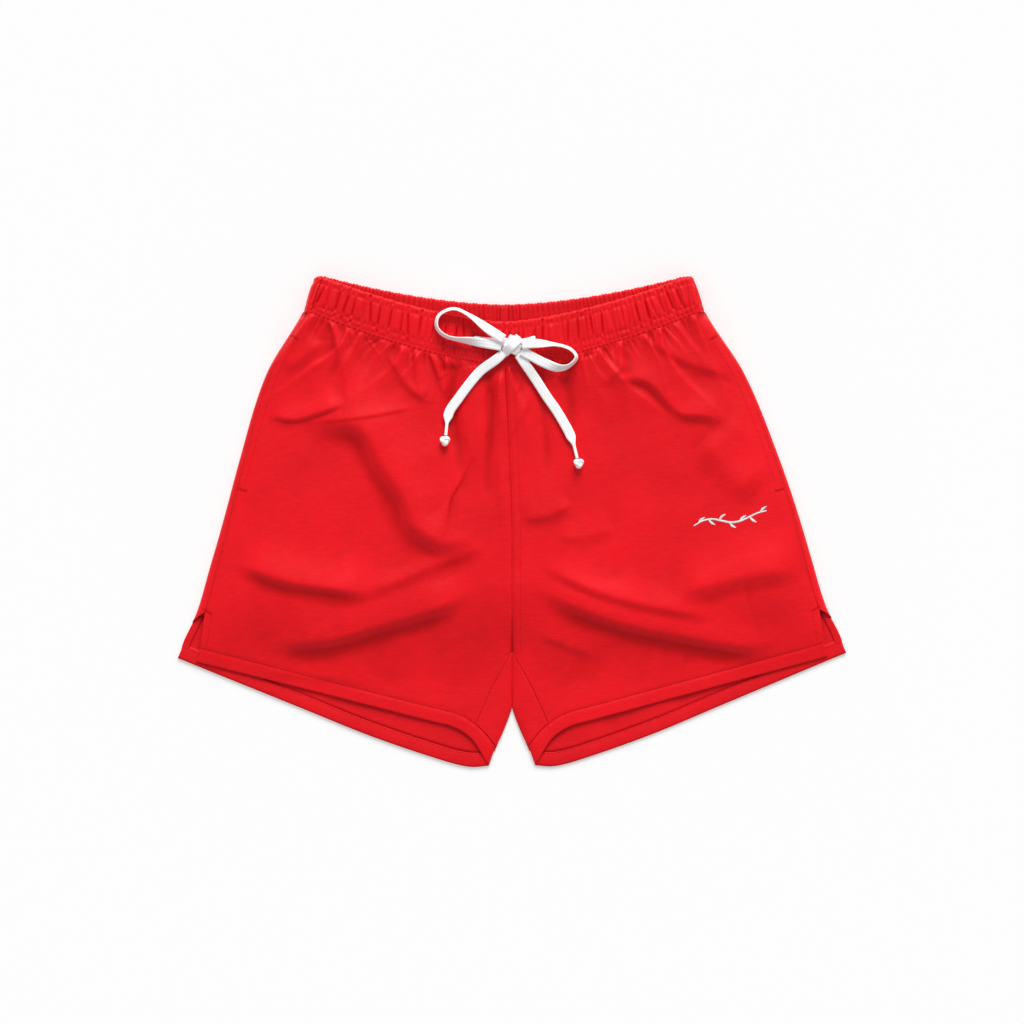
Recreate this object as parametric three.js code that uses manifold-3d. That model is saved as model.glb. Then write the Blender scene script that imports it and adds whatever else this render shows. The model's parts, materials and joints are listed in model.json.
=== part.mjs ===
// Boxing shorts laid flat on their back, in millimetres: X across, Y up to the waist, Z out of the front.
// The crotch lies at X = 0. "left" is -X and "right" is +X, as seen from in front.
import * as THREE from "three";
import { mergeVertices } from "three/addons/utils/BufferGeometryUtils.js";
import Module from "manifold-3d";

// ---- Cloth ----
const CLOTH = 0.8; // one layer of shell cloth
const GAP = 0.35; // clearance between pieces that touch
const HEM_THICK = 1.8; // a hem is the cloth turned up on itself

// ---- Waistband ----
const WAIST_HALF_TOP = 180; // half the width of the band along its top edge
const WAIST_HALF_SEAM = 191; // half the width along its seam with the panels
const BAND_HEIGHT = 38;
const BAND_DEPTH = 5; // outside to inside of the folded casing
const FRONT_SEAM_Y = 149; // lowest point of the seam between band and front panels
const FRONT_SEAM_RISE = 49.5; // how much higher that seam is at the sides
const FRONT_TOP_Y = 189;
const FRONT_TOP_RISE = 42;
const BACK_SEAM_Y = 168;
const BACK_SEAM_RISE = 30.5;
const BACK_TOP_Y = 206;
const BACK_TOP_RISE = 27;
const ELASTIC_WIDTH = 30;
const ELASTIC_THICK = 1.3;
const EYELET_SPREAD = 28.5; // each eyelet from the middle of the band
const EYELET_SLOT = [3, 12];

// ---- Body of the shorts ----
const LEG_HALF_WIDTH = [ // [height, half the width of the outline] below the waistband
  [140, 228], [60, 257], [-37, 286], [-84, 300], [-130, 319],
];
const LAY_SKEW = 7.5; // the waist lies this far to the left of the crotch
const LAY_TILT = 2.5; // the right leg lies this much higher than the middle, the left leg lower
const FRONT_Z = 16.1; // middle of the front cloth above the floor
const SIDE_EDGE_Z = 9; // the same along the side seam
const SIDE_FALL = 70; // the front cloth falls to the side seam over this width
const WAIST_FALL = 12; // the same at the waistband, which turns over more tightly
const INSEAM_DROP = 6.5; // how much lower the front cloth is along the inseam
const SEAM_INSET = 4; // the side seam lies this far inside the outline
const CROTCH_Y = -129;
const LEGS_PART_Y = -178; // the legs lie against each other down to here
const LEG_GAP = 1.4; // half the space between them
const INSEAM = [[0, 0], [17, 30], [38, 66]]; // [out from the centre, down from the crotch]
const LEG_BOTTOM = [22, -233]; // inner lower corner of each leg
const HEM_DEPTH = 13;
const FRONT_HEM_CORNER_Y = -131; // lower outer corner of the front hem
const FRONT_HEM_INSET = 18; // that corner lies this far inside the outline
const FRONT_HEM_SLOPE = 0.262;
const BACK_HEM_EDGE = [[65, -228], [133, -204.5]]; // places between its two corners
const BACK_HEM_CORNER_Y = -128;

// ---- Vents, pockets, seams ----
const VENT_TOP_Y = -86;
const VENT_INSET = 8; // the top of the slit lies this far inside the outline
const VENT_FACING = 8;
const POCKET_TOP_Y = 172;
const POCKET_BOTTOM_Y = 32;
const POCKET_REACH = 118; // how far the bag goes in from the mouth
const POCKET_HANG = 62; // how far it hangs below the mouth
const POCKET_RIM = 14;
const SEAM_WIDTH = 8;
const TACK = [9, 2.2, 0.9];
const TACK_INSET = 6; // middle of a pocket tack from the side seam
const TACK_LIFT = 0.8; // stitches stand this far above the smooth cloth, clear of its facets

// ---- Drawcord ----
const CORD_WIDTH = 10;
const CORD_THICK = 1.4;
const KNOT_X = 0;
const KNOT_Y = 166;
const KNOT_RADIUS = 9;
const KNOT_TOP_Z = 28;
const END_KNOT_RADIUS = 4.6;
const STUB_RISE = 2.3; // the cord ends lie this far above the middle of the front cloth
const LEFT_TAIL = [
  [-8, 159, 21.2], [-15, 153, 20.9], [-29, 143, 18.4], [-39, 132, 17.8], [-51, 116, 17.6],
  [-60, 102, 17.6], [-62.9, 81, 17.6],
];
const RIGHT_TAIL = [
  [6, 157.5, 21.2], [13, 148, 20.9], [22, 135, 18.4], [33, 118, 17.8], [44, 102, 17.6],
  [56, 80, 17.6], [61.9, 59.5, 17.6],
];
const LEFT_LOOP = [
  [-8, 172, 26.4], [-23, 182, 25.6], [-39, 194, 23], [-55, 201, 22], [-69, 195, 22],
  [-71, 183, 22], [-60, 174, 22], [-36, 170, 22.6], [-10, 165.5, 23.6],
];
const RIGHT_LOOP = [
  [9.5, 167, 26.4], [24, 168, 25.6], [42, 167, 23], [55, 163, 22], [61, 155, 22],
  [54, 147, 22], [44, 145, 22], [30, 150, 22.6], [9, 161, 23.6],
];

// ---- Stitched motif ----
const MOTIF_X = [172, 243];
const MOTIF_Y = 2.5;
const MOTIF_SWING = 9;
const MOTIF_TILT = 0.17;

const shellCloth = { color: 0xd81e28, roughness: 0.42, metalness: 0 };
const innerCloth = { color: 0xb5161f, roughness: 0.6, metalness: 0 };
const bagCloth = { color: 0xc21a24, roughness: 0.8, metalness: 0 };
const knitWhite = { color: 0xf4f4f2, roughness: 0.85, metalness: 0 };
const elasticWhite = { color: 0xe9e7e2, roughness: 0.9, metalness: 0 };
const redThread = { color: 0xcc1b26, roughness: 0.5, metalness: 0 };
const whiteThread = { color: 0xf7f7f5, roughness: 0.45, metalness: 0 };

const shorts = new THREE.Group();

// ---- Small helpers ----
const { lerp, clamp } = THREE.MathUtils;
const sides = { left: -1, right: 1 };

function ease(t) {
  const c = clamp(t, 0, 1);
  return c * c * (3 - 2 * c);
}

// A smooth function through [x, y] points, in either order of x.
function curveThrough(points) {
  const rows = [...points].sort((a, b) => a[0] - b[0]);
  const slope = (i) => {
    const a = rows[Math.max(0, i - 1)];
    const b = rows[Math.min(rows.length - 1, i + 1)];
    return (b[1] - a[1]) / (b[0] - a[0]);
  };
  return (x) => {
    let i = 0;
    while (i < rows.length - 2 && x > rows[i + 1][0]) i++;
    const [x0, y0] = rows[i];
    const [x1, y1] = rows[i + 1];
    const w = x1 - x0;
    const t = clamp((x - x0) / w, 0, 1);
    const bend = (1 - t) ** 2 * t * w * slope(i) - t * t * (1 - t) * w * slope(i + 1);
    return lerp(y0, y1, ease(t)) + bend;
  };
}

// Where a point of the evenly drawn pattern lies: `out` is measured from the centre line.
function lay(side, out, y, z) {
  const skew = -LAY_SKEW * ease((y + 20) / 220);
  const tilt = side * LAY_TILT * ease((-50 - y) / 60) * clamp(out / 300, 0, 1);
  return new THREE.Vector3(skew + side * out, y + tilt, z);
}

function addPiece(name, geometry, look) {
  const piece = new THREE.Mesh(geometry, new THREE.MeshStandardMaterial(look));
  piece.name = name;
  shorts.add(piece);
}

// A closed body from points and triangles, turned so that its faces point out.
function closedBody(points, faces) {
  let volume = 0;
  for (const [a, b, c] of faces) {
    volume += points[a].dot(points[b].clone().cross(points[c]));
  }
  const turned = volume < 0 ? faces.map(([a, b, c]) => [a, c, b]) : faces;
  const geometry = new THREE.BufferGeometry();
  geometry.setFromPoints(points);
  geometry.setIndex(turned.flat());
  geometry.computeVertexNormals();
  return geometry;
}

// A sheet of cloth: surface(u, v) gives its middle, and it is thickened evenly along its own normals.
function clothSheet(surface, across, along, thickness) {
  const middle = [];
  for (let j = 0; j <= along; j++) {
    for (let i = 0; i <= across; i++) middle.push(surface(i / across, j / along));
  }
  const wide = across + 1;
  const at = (i, j) => middle[clamp(j, 0, along) * wide + clamp(i, 0, across)];
  const points = [];
  for (const half of [thickness / 2, -thickness / 2]) {
    for (let j = 0; j <= along; j++) {
      for (let i = 0; i <= across; i++) {
        const alongU = at(i + 1, j).clone().sub(at(i - 1, j));
        const alongV = at(i, j + 1).clone().sub(at(i, j - 1));
        const normal = alongU.cross(alongV).normalize();
        points.push(at(i, j).clone().addScaledVector(normal, half));
      }
    }
  }
  const under = middle.length;
  const faces = [];
  for (let j = 0; j < along; j++) {
    for (let i = 0; i < across; i++) {
      const a = j * wide + i;
      const b = a + wide;
      faces.push([a, a + 1, b + 1], [a, b + 1, b]);
      faces.push([under + a, under + b + 1, under + a + 1], [under + a, under + b, under + b + 1]);
    }
  }
  const rim = [];
  for (let i = 0; i < across; i++) rim.push(i);
  for (let j = 0; j < along; j++) rim.push(j * wide + across);
  for (let i = across; i > 0; i--) rim.push(along * wide + i);
  for (let j = along; j > 0; j--) rim.push(j * wide);
  rim.forEach((a, k) => {
    const b = rim[(k + 1) % rim.length];
    faces.push([a, under + b, b], [a, under + a, under + b]);
  });
  return closedBody(points, faces);
}

// A body swept through rings of points. `round` joins the last ring to the first;
// otherwise both ends are capped.
function sweptBody(rings, round) {
  const n = rings[0].length;
  const faces = [];
  const spans = round ? rings.length : rings.length - 1;
  for (let j = 0; j < spans; j++) {
    const next = (j + 1) % rings.length;
    for (let i = 0; i < n; i++) {
      const k = (i + 1) % n;
      faces.push([j * n + i, next * n + i, next * n + k], [j * n + i, next * n + k, j * n + k]);
    }
  }
  if (!round) {
    const last = (rings.length - 1) * n;
    for (let i = 1; i < n - 1; i++) faces.push([0, i, i + 1], [last, last + i + 1, last + i]);
  }
  return closedBody(rings.flat(), faces);
}

// A patch of pattern between four edges, each a function of 0..1 giving [out, y].
function patch(top, bottom, inner, outer) {
  const mix = (u, v, k) =>
    (1 - v) * top(u)[k] + v * bottom(u)[k] + (1 - u) * inner(v)[k] + u * outer(v)[k] -
    (1 - u) * (1 - v) * top(0)[k] - u * (1 - v) * top(1)[k] -
    (1 - u) * v * bottom(0)[k] - u * v * bottom(1)[k];
  return (u, v) => [mix(u, v, 0), mix(u, v, 1)];
}

// ---- Shape of the laid shorts ----
const halfWidth = curveThrough([
  [FRONT_TOP_Y + FRONT_TOP_RISE + 1, WAIST_HALF_TOP - 0.5],
  [FRONT_SEAM_Y + FRONT_SEAM_RISE - 0.5, WAIST_HALF_SEAM + 1.5],
  ...LEG_HALF_WIDTH,
]);
const VENT_TOP = [halfWidth(VENT_TOP_Y) - VENT_INSET, VENT_TOP_Y];
const FRONT_HEM_OUTER = [halfWidth(FRONT_HEM_CORNER_Y) - FRONT_HEM_INSET, FRONT_HEM_CORNER_Y];
const BACK_HEM_OUTER = halfWidth(BACK_HEM_CORNER_Y);
const backHemEdge = curveThrough([LEG_BOTTOM, ...BACK_HEM_EDGE, [BACK_HEM_OUTER, BACK_HEM_CORNER_Y]]);
const frontSeamY = (u) => FRONT_SEAM_Y + FRONT_SEAM_RISE * Math.abs(u) ** 1.5;
const frontTopY = (u) => FRONT_TOP_Y + FRONT_TOP_RISE * Math.abs(u) ** 1.5;
const backSeamY = (u) => BACK_SEAM_Y + BACK_SEAM_RISE * Math.abs(u) ** 1.7;
const backTopY = (u) => BACK_TOP_Y + BACK_TOP_RISE * Math.abs(u) ** 1.7;
const frontHemEdge = (out) => FRONT_HEM_OUTER[1] - (FRONT_HEM_OUTER[0] - out) * FRONT_HEM_SLOPE;
const ventSlope = (FRONT_HEM_OUTER[0] - VENT_TOP[0]) / (VENT_TOP[1] - FRONT_HEM_OUTER[1]);
const BACK_Z = CLOTH / 2;

// Inner fold of a leg, and the seam line on its front, as distances out from the centre.
function innerFold(y) {
  const t = clamp((LEGS_PART_Y - y) / (LEGS_PART_Y - LEG_BOTTOM[1]), 0, 1);
  return lerp(LEG_GAP, LEG_BOTTOM[0], t ** 1.35);
}
const inseamOut = curveThrough(INSEAM.map(([out, down]) => [CROTCH_Y - down, out]));
const inseamLine = (y) => Math.max(innerFold(y) + CLOTH, inseamOut(Math.min(y, CROTCH_Y)));

// Side edge of the front cloth: the side seam, and below the vent's top the edge of the slit.
function frontSide(y) {
  if (y < VENT_TOP[1]) return VENT_TOP[0] + (VENT_TOP[1] - y) * ventSlope;
  const inset = lerp(SEAM_INSET, halfWidth(VENT_TOP[1]) - VENT_TOP[0], ease((60 - y) / 144));
  return halfWidth(y) - inset;
}

// Height of the middle of the front cloth.
function frontHeight(out, y) {
  const fall = lerp(WAIST_FALL, SIDE_FALL, ease((185 - y) / 60));
  const fromSide = Math.sin(clamp((frontSide(y) - out) / fall, 0, 1) * Math.PI / 2);
  const fromInseam = 1 - ease((out - inseamLine(y)) / 34);
  const drop = INSEAM_DROP * fromInseam * ease((CROTCH_Y + 22 - y) / 40);
  return SIDE_EDGE_Z + (FRONT_Z - SIDE_EDGE_Z) * fromSide - drop;
}

// A downward edge in two stretches that meet at the crotch, a whole row of the grid.
const PANEL_ROWS = 16;
const CROTCH_ROW = 13 / PANEL_ROWS;
function centreThenLeg(topY, centreOut, legOut, bottomY) {
  return (v) => {
    if (v <= CROTCH_ROW) return [centreOut, lerp(topY, CROTCH_Y, v / CROTCH_ROW)];
    const y = lerp(CROTCH_Y, bottomY, (v - CROTCH_ROW) / (1 - CROTCH_ROW));
    return [Math.max(centreOut, legOut(y)), y];
  };
}

// The band turns round its sides on this radius, and runs straight for half this width before that.
const BAND_RADIUS = (FRONT_Z + CLOTH / 2 - BAND_DEPTH) / 2;
const BAND_MID_Z = (FRONT_Z + CLOTH / 2) / 2;
const bandHalf = (rise) => lerp(WAIST_HALF_SEAM, WAIST_HALF_TOP, rise) - BAND_RADIUS - BAND_DEPTH / 2;

// ---- Panels ----
const frontPanelFoot = (() => {
  let y = CROTCH_Y;
  while (frontHemEdge(inseamLine(y)) + HEM_DEPTH < y - GAP) y -= 0.5;
  return y;
})();

function frontPanel(side) {
  const half = WAIST_HALF_SEAM - SEAM_INSET;
  const startOut = inseamLine(frontPanelFoot) + GAP;
  const endOut = frontSide(frontHemEdge(FRONT_HEM_OUTER[0]) + HEM_DEPTH);
  const top = (u) => [lerp(GAP, half, u), frontSeamY(Math.min(1, lerp(0, half, u) / bandHalf(0))) - GAP];
  const bottom = (u) => {
    const out = lerp(startOut, endOut, u);
    return [out, frontHemEdge(out) + HEM_DEPTH + GAP];
  };
  const inner = centreThenLeg(top(0)[1], GAP, (y) => inseamLine(y) + GAP, bottom(0)[1]);
  const outer = (v) => {
    const y = lerp(top(1)[1], bottom(1)[1], v);
    return [lerp(half, frontSide(y), ease(v * 8)), y];
  };
  const pattern = patch(top, bottom, inner, outer);
  return clothSheet((u, v) => {
    const [out, y] = pattern(u, v);
    return lay(side, out, y, frontHeight(out, y));
  }, 18, PANEL_ROWS, CLOTH);
}

function backPanel(side) {
  const half = WAIST_HALF_SEAM - GAP;
  const footOut = innerFold(LEG_BOTTOM[1] + HEM_DEPTH) + GAP;
  const top = (u) => [lerp(GAP, half, u), backSeamY(Math.min(1, lerp(0, half, u) / bandHalf(0))) - GAP];
  const hemLine = (out) => backHemEdge(out) + HEM_DEPTH + GAP;
  const endOut = halfWidth(hemLine(BACK_HEM_OUTER - SEAM_INSET)) - GAP;
  const bottom = (u) => {
    const out = lerp(footOut, endOut, u);
    return [out, hemLine(out)];
  };
  const inner = centreThenLeg(top(0)[1], GAP, (y) => innerFold(y) + GAP, bottom(0)[1]);
  const outer = (v) => {
    const y = lerp(top(1)[1], bottom(1)[1], v);
    return [lerp(half, halfWidth(y) - GAP, ease(v * 8)), y];
  };
  const pattern = patch(top, bottom, inner, outer);
  return clothSheet((u, v) => {
    const [out, y] = pattern(u, v);
    return lay(side, out, y, BACK_Z);
  }, 14, PANEL_ROWS, CLOTH);
}

// ---- Hems ----
function frontHem(side) {
  const inner = inseamLine(frontPanelFoot) + 3;
  const outer = FRONT_HEM_OUTER[0];
  return clothSheet((u, v) => {
    const out = lerp(inner, outer - v * HEM_DEPTH * ventSlope, u);
    const y = frontHemEdge(out) + v * HEM_DEPTH;
    return lay(side, out, y, frontHeight(out, y));
  }, 14, 1, HEM_THICK);
}

function backHem(side) {
  const outer = BACK_HEM_OUTER;
  return clothSheet((u, v) => {
    const out = lerp(LEG_BOTTOM[0] + 1.5 - v * 6, outer - v * 5, u);
    const y = backHemEdge(clamp(out, LEG_BOTTOM[0], outer)) + v * HEM_DEPTH;
    return lay(side, out, y, HEM_THICK / 2);
  }, 28, 1, HEM_THICK);
}

// ---- Seams ----
// The back cloth turns over the inner fold and meets the front cloth at the inseam.
function inseam(side) {
  return clothSheet((u, v) => {
    const foldY = lerp(CROTCH_Y - 6, LEG_BOTTOM[1], v);
    const seamY = lerp(CROTCH_Y - 6, frontPanelFoot - HEM_DEPTH, v);
    const fold = [innerFold(foldY), foldY, CLOTH + GAP + CLOTH / 2];
    const seamOut = inseamLine(seamY) - 0.6;
    const seam = [seamOut, seamY, frontHeight(seamOut + 1, seamY) - (HEM_THICK + CLOTH) / 2 - GAP];
    const corner = [lerp(fold[0], seam[0], 0.12), lerp(foldY, seamY, 0.12), seam[2]];
    const point = (k) => (1 - u) ** 2 * fold[k] + 2 * u * (1 - u) * corner[k] + u * u * seam[k];
    return lay(side, point(0), point(1), point(2));
  }, 5, 10, CLOTH);
}

// The back cloth turns over the outline and meets the front cloth at the side seam.
function sideSeam(side, topY, bottomY, rows) {
  return clothSheet((u, v) => {
    const y = lerp(topY, bottomY, v);
    const back = [halfWidth(y) - SEAM_INSET, CLOTH + GAP + CLOTH / 2];
    const front = [frontSide(y) - 1, frontHeight(frontSide(y) - 1, y) - CLOTH - GAP];
    const bulge = [halfWidth(y) + 1.5, (back[1] + front[1]) / 2];
    const point = (k) => (1 - u) ** 2 * back[k] + 2 * u * (1 - u) * bulge[k] + u * u * front[k];
    return lay(side, point(0), y, point(1));
  }, 4, rows, CLOTH);
}

// A strip of seam allowance inside the shorts, along the centre line.
function riseSeam(topY, height) {
  return clothSheet((u, v) => {
    const y = lerp(topY, CROTCH_Y + 5, v);
    const middle = lay(1, 0, y, height(y));
    middle.x += lerp(-SEAM_WIDTH / 2, SEAM_WIDTH / 2, u);
    return middle;
  }, 1, 10, CLOTH);
}

// ---- Vents ----
function ventFacing(side, isFront) {
  const top = VENT_TOP[1] - 3;
  const bottom = FRONT_HEM_OUTER[1] + HEM_DEPTH + 2;
  return clothSheet((u, v) => {
    const y = lerp(top, bottom, v);
    const edge = isFront ? frontSide(y) : halfWidth(y) - GAP;
    const out = edge - u * VENT_FACING;
    const inward = isFront ? frontHeight(out, y) - CLOTH - GAP : BACK_Z + CLOTH + GAP;
    return lay(side, out, y, inward);
  }, 2, 5, CLOTH);
}

// ---- Pocket bags: two layers that meet along their rim and stay open along the mouth ----
function pocketLayer(side, isFront) {
  const hang = (u) => POCKET_HANG * Math.sin(Math.PI * clamp(0.15 + u * 0.75, 0, 1));
  return clothSheet((u, v) => {
    const mouthY = lerp(POCKET_TOP_Y - 6, POCKET_BOTTOM_Y + 4, v);
    const y = mouthY - hang(u) * v * Math.min(1, u * 4) - 10 * u;
    const edge = isFront ? frontSide(mouthY) - 0.5 : halfWidth(mouthY) - SEAM_INSET;
    const out = edge - u * POCKET_REACH;
    const toRim = Math.min((1 - u) * POCKET_REACH, v * 120 + 2, (1 - v) * 120 + 2);
    const flat = BACK_Z + CLOTH + GAP;
    if (!isFront) return lay(side, out, y, flat);
    const raised = frontHeight(out, y) - CLOTH - 2 * GAP;
    const low = flat + CLOTH + GAP;
    const open = u < 0.01 ? 1 : ease(toRim / POCKET_RIM);
    return lay(side, out, y, lerp(low, raised, open));
  }, 9, 10, CLOTH);
}

// ---- Waistband ----
const BAND_STEPS = 20;
const BAND_TURN_STEPS = 5;

// One place on the way round the waist: u across the front or back, and the direction that faces out.
function waistStation(u, angle) {
  const back = (1 - Math.sin(angle)) / 2;
  return (offset, height) => {
    const rise = height / BAND_HEIGHT;
    const half = bandHalf(rise);
    const reach = BAND_RADIUS + offset;
    const seam = lerp(frontSeamY(u), backSeamY(u), back);
    const top = lerp(frontTopY(u), backTopY(u), back);
    const y = lerp(seam, top, rise);
    return lay(1, half * u + Math.cos(angle) * reach, y, BAND_MID_Z + Math.sin(angle) * reach);
  };
}

// The stations from one place on the front, round the left side, the back and the right side, to another.
function waistRound(startU, endU) {
  const stations = [];
  const up = Math.PI / 2;
  for (let i = 0; i <= BAND_STEPS / 2; i++) {
    stations.push(waistStation(lerp(startU, -1, i / (BAND_STEPS / 2)), up));
  }
  for (let i = 1; i < BAND_TURN_STEPS; i++) {
    stations.push(waistStation(-1, up + (Math.PI * i) / BAND_TURN_STEPS));
  }
  for (let i = 0; i <= BAND_STEPS; i++) stations.push(waistStation(lerp(-1, 1, i / BAND_STEPS), -up));
  for (let i = 1; i < BAND_TURN_STEPS; i++) {
    stations.push(waistStation(1, -up + (Math.PI * i) / BAND_TURN_STEPS));
  }
  for (let i = 0; i <= BAND_STEPS / 2; i++) {
    stations.push(waistStation(lerp(1, endU, i / (BAND_STEPS / 2)), up));
  }
  return stations;
}

function waistRing(profile, startU = 0, endU = 0) {
  const stations = waistRound(startU, endU);
  const round = startU === endU;
  if (round) stations.pop();
  return sweptBody(stations.map((at) => profile.map(([offset, height]) => at(offset, height))), round);
}

const WALL = BAND_DEPTH / 2;
const CASING_PROFILE = [
  [WALL, 0], [WALL, BAND_HEIGHT], [-WALL, BAND_HEIGHT], [-WALL, 0],
  [CLOTH - WALL, 0], [CLOTH - WALL, BAND_HEIGHT - CLOTH],
  [WALL - CLOTH, BAND_HEIGHT - CLOTH], [WALL - CLOTH, 0],
];
const ELASTIC_INNER = CLOTH - WALL + GAP;
const elasticLow = (BAND_HEIGHT - ELASTIC_WIDTH) / 2 - 1;
const ELASTIC_PROFILE = [
  [ELASTIC_INNER, elasticLow], [ELASTIC_INNER, elasticLow + ELASTIC_WIDTH],
  [ELASTIC_INNER + ELASTIC_THICK, elasticLow + ELASTIC_WIDTH], [ELASTIC_INNER + ELASTIC_THICK, elasticLow],
];
const CORD_OUTER = WALL - CLOTH - GAP;
const RUN_THICK = CORD_OUTER - (ELASTIC_INNER + ELASTIC_THICK + GAP);
const runLow = (BAND_HEIGHT - CORD_WIDTH) / 2 + 1;
const RUN_PROFILE = [
  [CORD_OUTER - RUN_THICK, runLow], [CORD_OUTER - RUN_THICK, runLow + CORD_WIDTH],
  [CORD_OUTER, runLow + CORD_WIDTH], [CORD_OUTER, runLow],
];

// ---- Cutting, with manifold-3d ----
const wasm = await Module();
wasm.setup();

function toSolid(geometry) {
  const bare = geometry.clone();
  bare.deleteAttribute("normal");
  bare.deleteAttribute("uv");
  const merged = mergeVertices(bare, 1e-4);
  return new wasm.Manifold(new wasm.Mesh({
    numProp: 3,
    vertProperties: merged.attributes.position.array,
    triVerts: new Uint32Array(merged.index.array),
  }));
}

function toGeometry(solid) {
  const mesh = solid.getMesh();
  const geometry = new THREE.BufferGeometry();
  geometry.setAttribute("position", new THREE.BufferAttribute(mesh.vertProperties, 3));
  geometry.setIndex(new THREE.BufferAttribute(mesh.triVerts, 1));
  geometry.computeVertexNormals();
  return geometry;
}

const bandOutY = (FRONT_SEAM_Y + FRONT_TOP_Y) / 2 + 3;
function eyeletPlace(side) {
  return lay(side, EYELET_SPREAD, bandOutY, FRONT_Z);
}

function slotAt(side, width, height, depth) {
  const place = eyeletPlace(side);
  return new THREE.BoxGeometry(width, height, depth).translate(place.x, place.y, place.z);
}

function casing() {
  let solid = toSolid(waistRing(CASING_PROFILE));
  for (const side of Object.values(sides)) {
    solid = solid.subtract(toSolid(slotAt(side, EYELET_SLOT[0], EYELET_SLOT[1], 3 * CLOTH)));
  }
  return toGeometry(solid);
}

// The stitched ring round an eyelet's slot, standing on the outside of the casing.
function eyelet(side) {
  const place = eyeletPlace(side);
  const border = 1.6;
  const outer = new THREE.Shape();
  const w = EYELET_SLOT[0] / 2 + border;
  const h = EYELET_SLOT[1] / 2 + border;
  outer.moveTo(-w, -h + w);
  outer.lineTo(-w, h - w);
  outer.absarc(0, h - w, w, Math.PI, 0, true);
  outer.lineTo(w, -h + w);
  outer.absarc(0, -h + w, w, 0, Math.PI, true);
  const hole = new THREE.Path();
  hole.moveTo(-EYELET_SLOT[0] / 2, -EYELET_SLOT[1] / 2 + 1);
  hole.lineTo(EYELET_SLOT[0] / 2, -EYELET_SLOT[1] / 2 + 1);
  hole.lineTo(EYELET_SLOT[0] / 2, EYELET_SLOT[1] / 2 - 1);
  hole.lineTo(-EYELET_SLOT[0] / 2, EYELET_SLOT[1] / 2 - 1);
  hole.closePath();
  outer.holes.push(hole);
  const ring = new THREE.ExtrudeGeometry(outer, { depth: 0.6, bevelEnabled: false, curveSegments: 5 });
  return ring.translate(place.x, place.y, FRONT_Z + CLOTH / 2 + GAP);
}

// ---- Drawcord ----
// A flat section with eased corners, as thick along x as the cord and as wide along y.
function cordSection(thick, wide) {
  const t = thick / 2;
  const w = wide / 2;
  const cut = Math.min(t, w) * 0.55;
  return new THREE.Shape([
    [-t, -w + cut], [-t, w - cut], [-t + cut, w], [t - cut, w],
    [t, w - cut], [t, -w + cut], [t - cut, -w], [-t + cut, -w],
  ].map(([x, y]) => new THREE.Vector2(x, y)));
}

function cord(points, steps) {
  const path = new THREE.CatmullRomCurve3(points.map((p) => new THREE.Vector3(...p)));
  const section = cordSection(CORD_THICK, CORD_WIDTH);
  return new THREE.ExtrudeGeometry(section, { steps, extrudePath: path, bevelEnabled: false });
}

const STUB_Z = FRONT_Z + STUB_RISE;

// From the slot of an eyelet up and over to the bow's knot.
function stub(side) {
  const place = eyeletPlace(side);
  const towards = Math.sign(KNOT_X - place.x);
  const knotEdge = KNOT_X - towards * (KNOT_RADIUS + GAP);
  const width = EYELET_SLOT[1] - 4;
  const bend = 1.2;
  const rings = [
    [place.x, FRONT_Z - 1, 1, 0],
    [place.x, STUB_Z - bend + 0.1, 1, 0],
    [place.x + towards * 0.4, STUB_Z - 0.4, 0.7, 0.7],
    [place.x + towards * bend, STUB_Z, 0, 1],
    [knotEdge, STUB_Z, 0, 1],
  ].map(([x, z, sideways, upward]) => {
    const along = (x - place.x) / (knotEdge - place.x);
    const y = lerp(place.y, KNOT_Y + 2, along);
    const half = 0.5;
    const corner = (s, t) => new THREE.Vector3(
      x - towards * s * half * sideways, y + t * width / 2, z + s * half * upward,
    );
    return [corner(1, 1), corner(1, -1), corner(-1, -1), corner(-1, 1)];
  });
  return sweptBody(rings, false);
}

function bowKnot() {
  const low = FRONT_Z + CLOTH / 2 + GAP;
  const edge = 3;
  const profile = [new THREE.Vector2(0, low), new THREE.Vector2(KNOT_RADIUS - 1, low)];
  profile.push(new THREE.Vector2(KNOT_RADIUS, low + 1));
  for (let i = 0; i <= 4; i++) {
    const angle = (Math.PI / 2) * (i / 4);
    const out = KNOT_RADIUS - edge + edge * Math.cos(angle);
    profile.push(new THREE.Vector2(out, KNOT_TOP_Z - edge + edge * Math.sin(angle)));
  }
  profile.push(new THREE.Vector2(0, KNOT_TOP_Z));
  const body = new THREE.LatheGeometry(profile, 20);
  return body.rotateX(Math.PI / 2).translate(KNOT_X, KNOT_Y, 0);
}

// An end knot just past the end of a tail.
function endKnot(points) {
  const [a, b] = points.slice(-2).map((p) => new THREE.Vector3(...p));
  const onward = b.clone().sub(a).normalize();
  const centre = b.clone().addScaledVector(onward, END_KNOT_RADIUS + GAP);
  centre.z = FRONT_Z + CLOTH / 2 + GAP + END_KNOT_RADIUS;
  const ball = new THREE.SphereGeometry(END_KNOT_RADIUS, 12, 8);
  return ball.translate(centre.x, centre.y, centre.z);
}

// ---- Trim ----
// A bar tack lying on the front cloth at a place of the pattern, turned by an angle.
function tack(side, out, y, turn) {
  return clothSheet((u, v) => {
    const along = (u - 0.5) * TACK[0];
    const across = (v - 0.5) * TACK[1];
    const at = [
      out + along * Math.cos(turn) - across * Math.sin(turn),
      y + along * Math.sin(turn) + across * Math.cos(turn),
    ];
    return lay(side, ...at, frontHeight(...at) + CLOTH / 2 + TACK_LIFT + TACK[2] / 2);
  }, 3, 1, TACK[2]);
}

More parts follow.
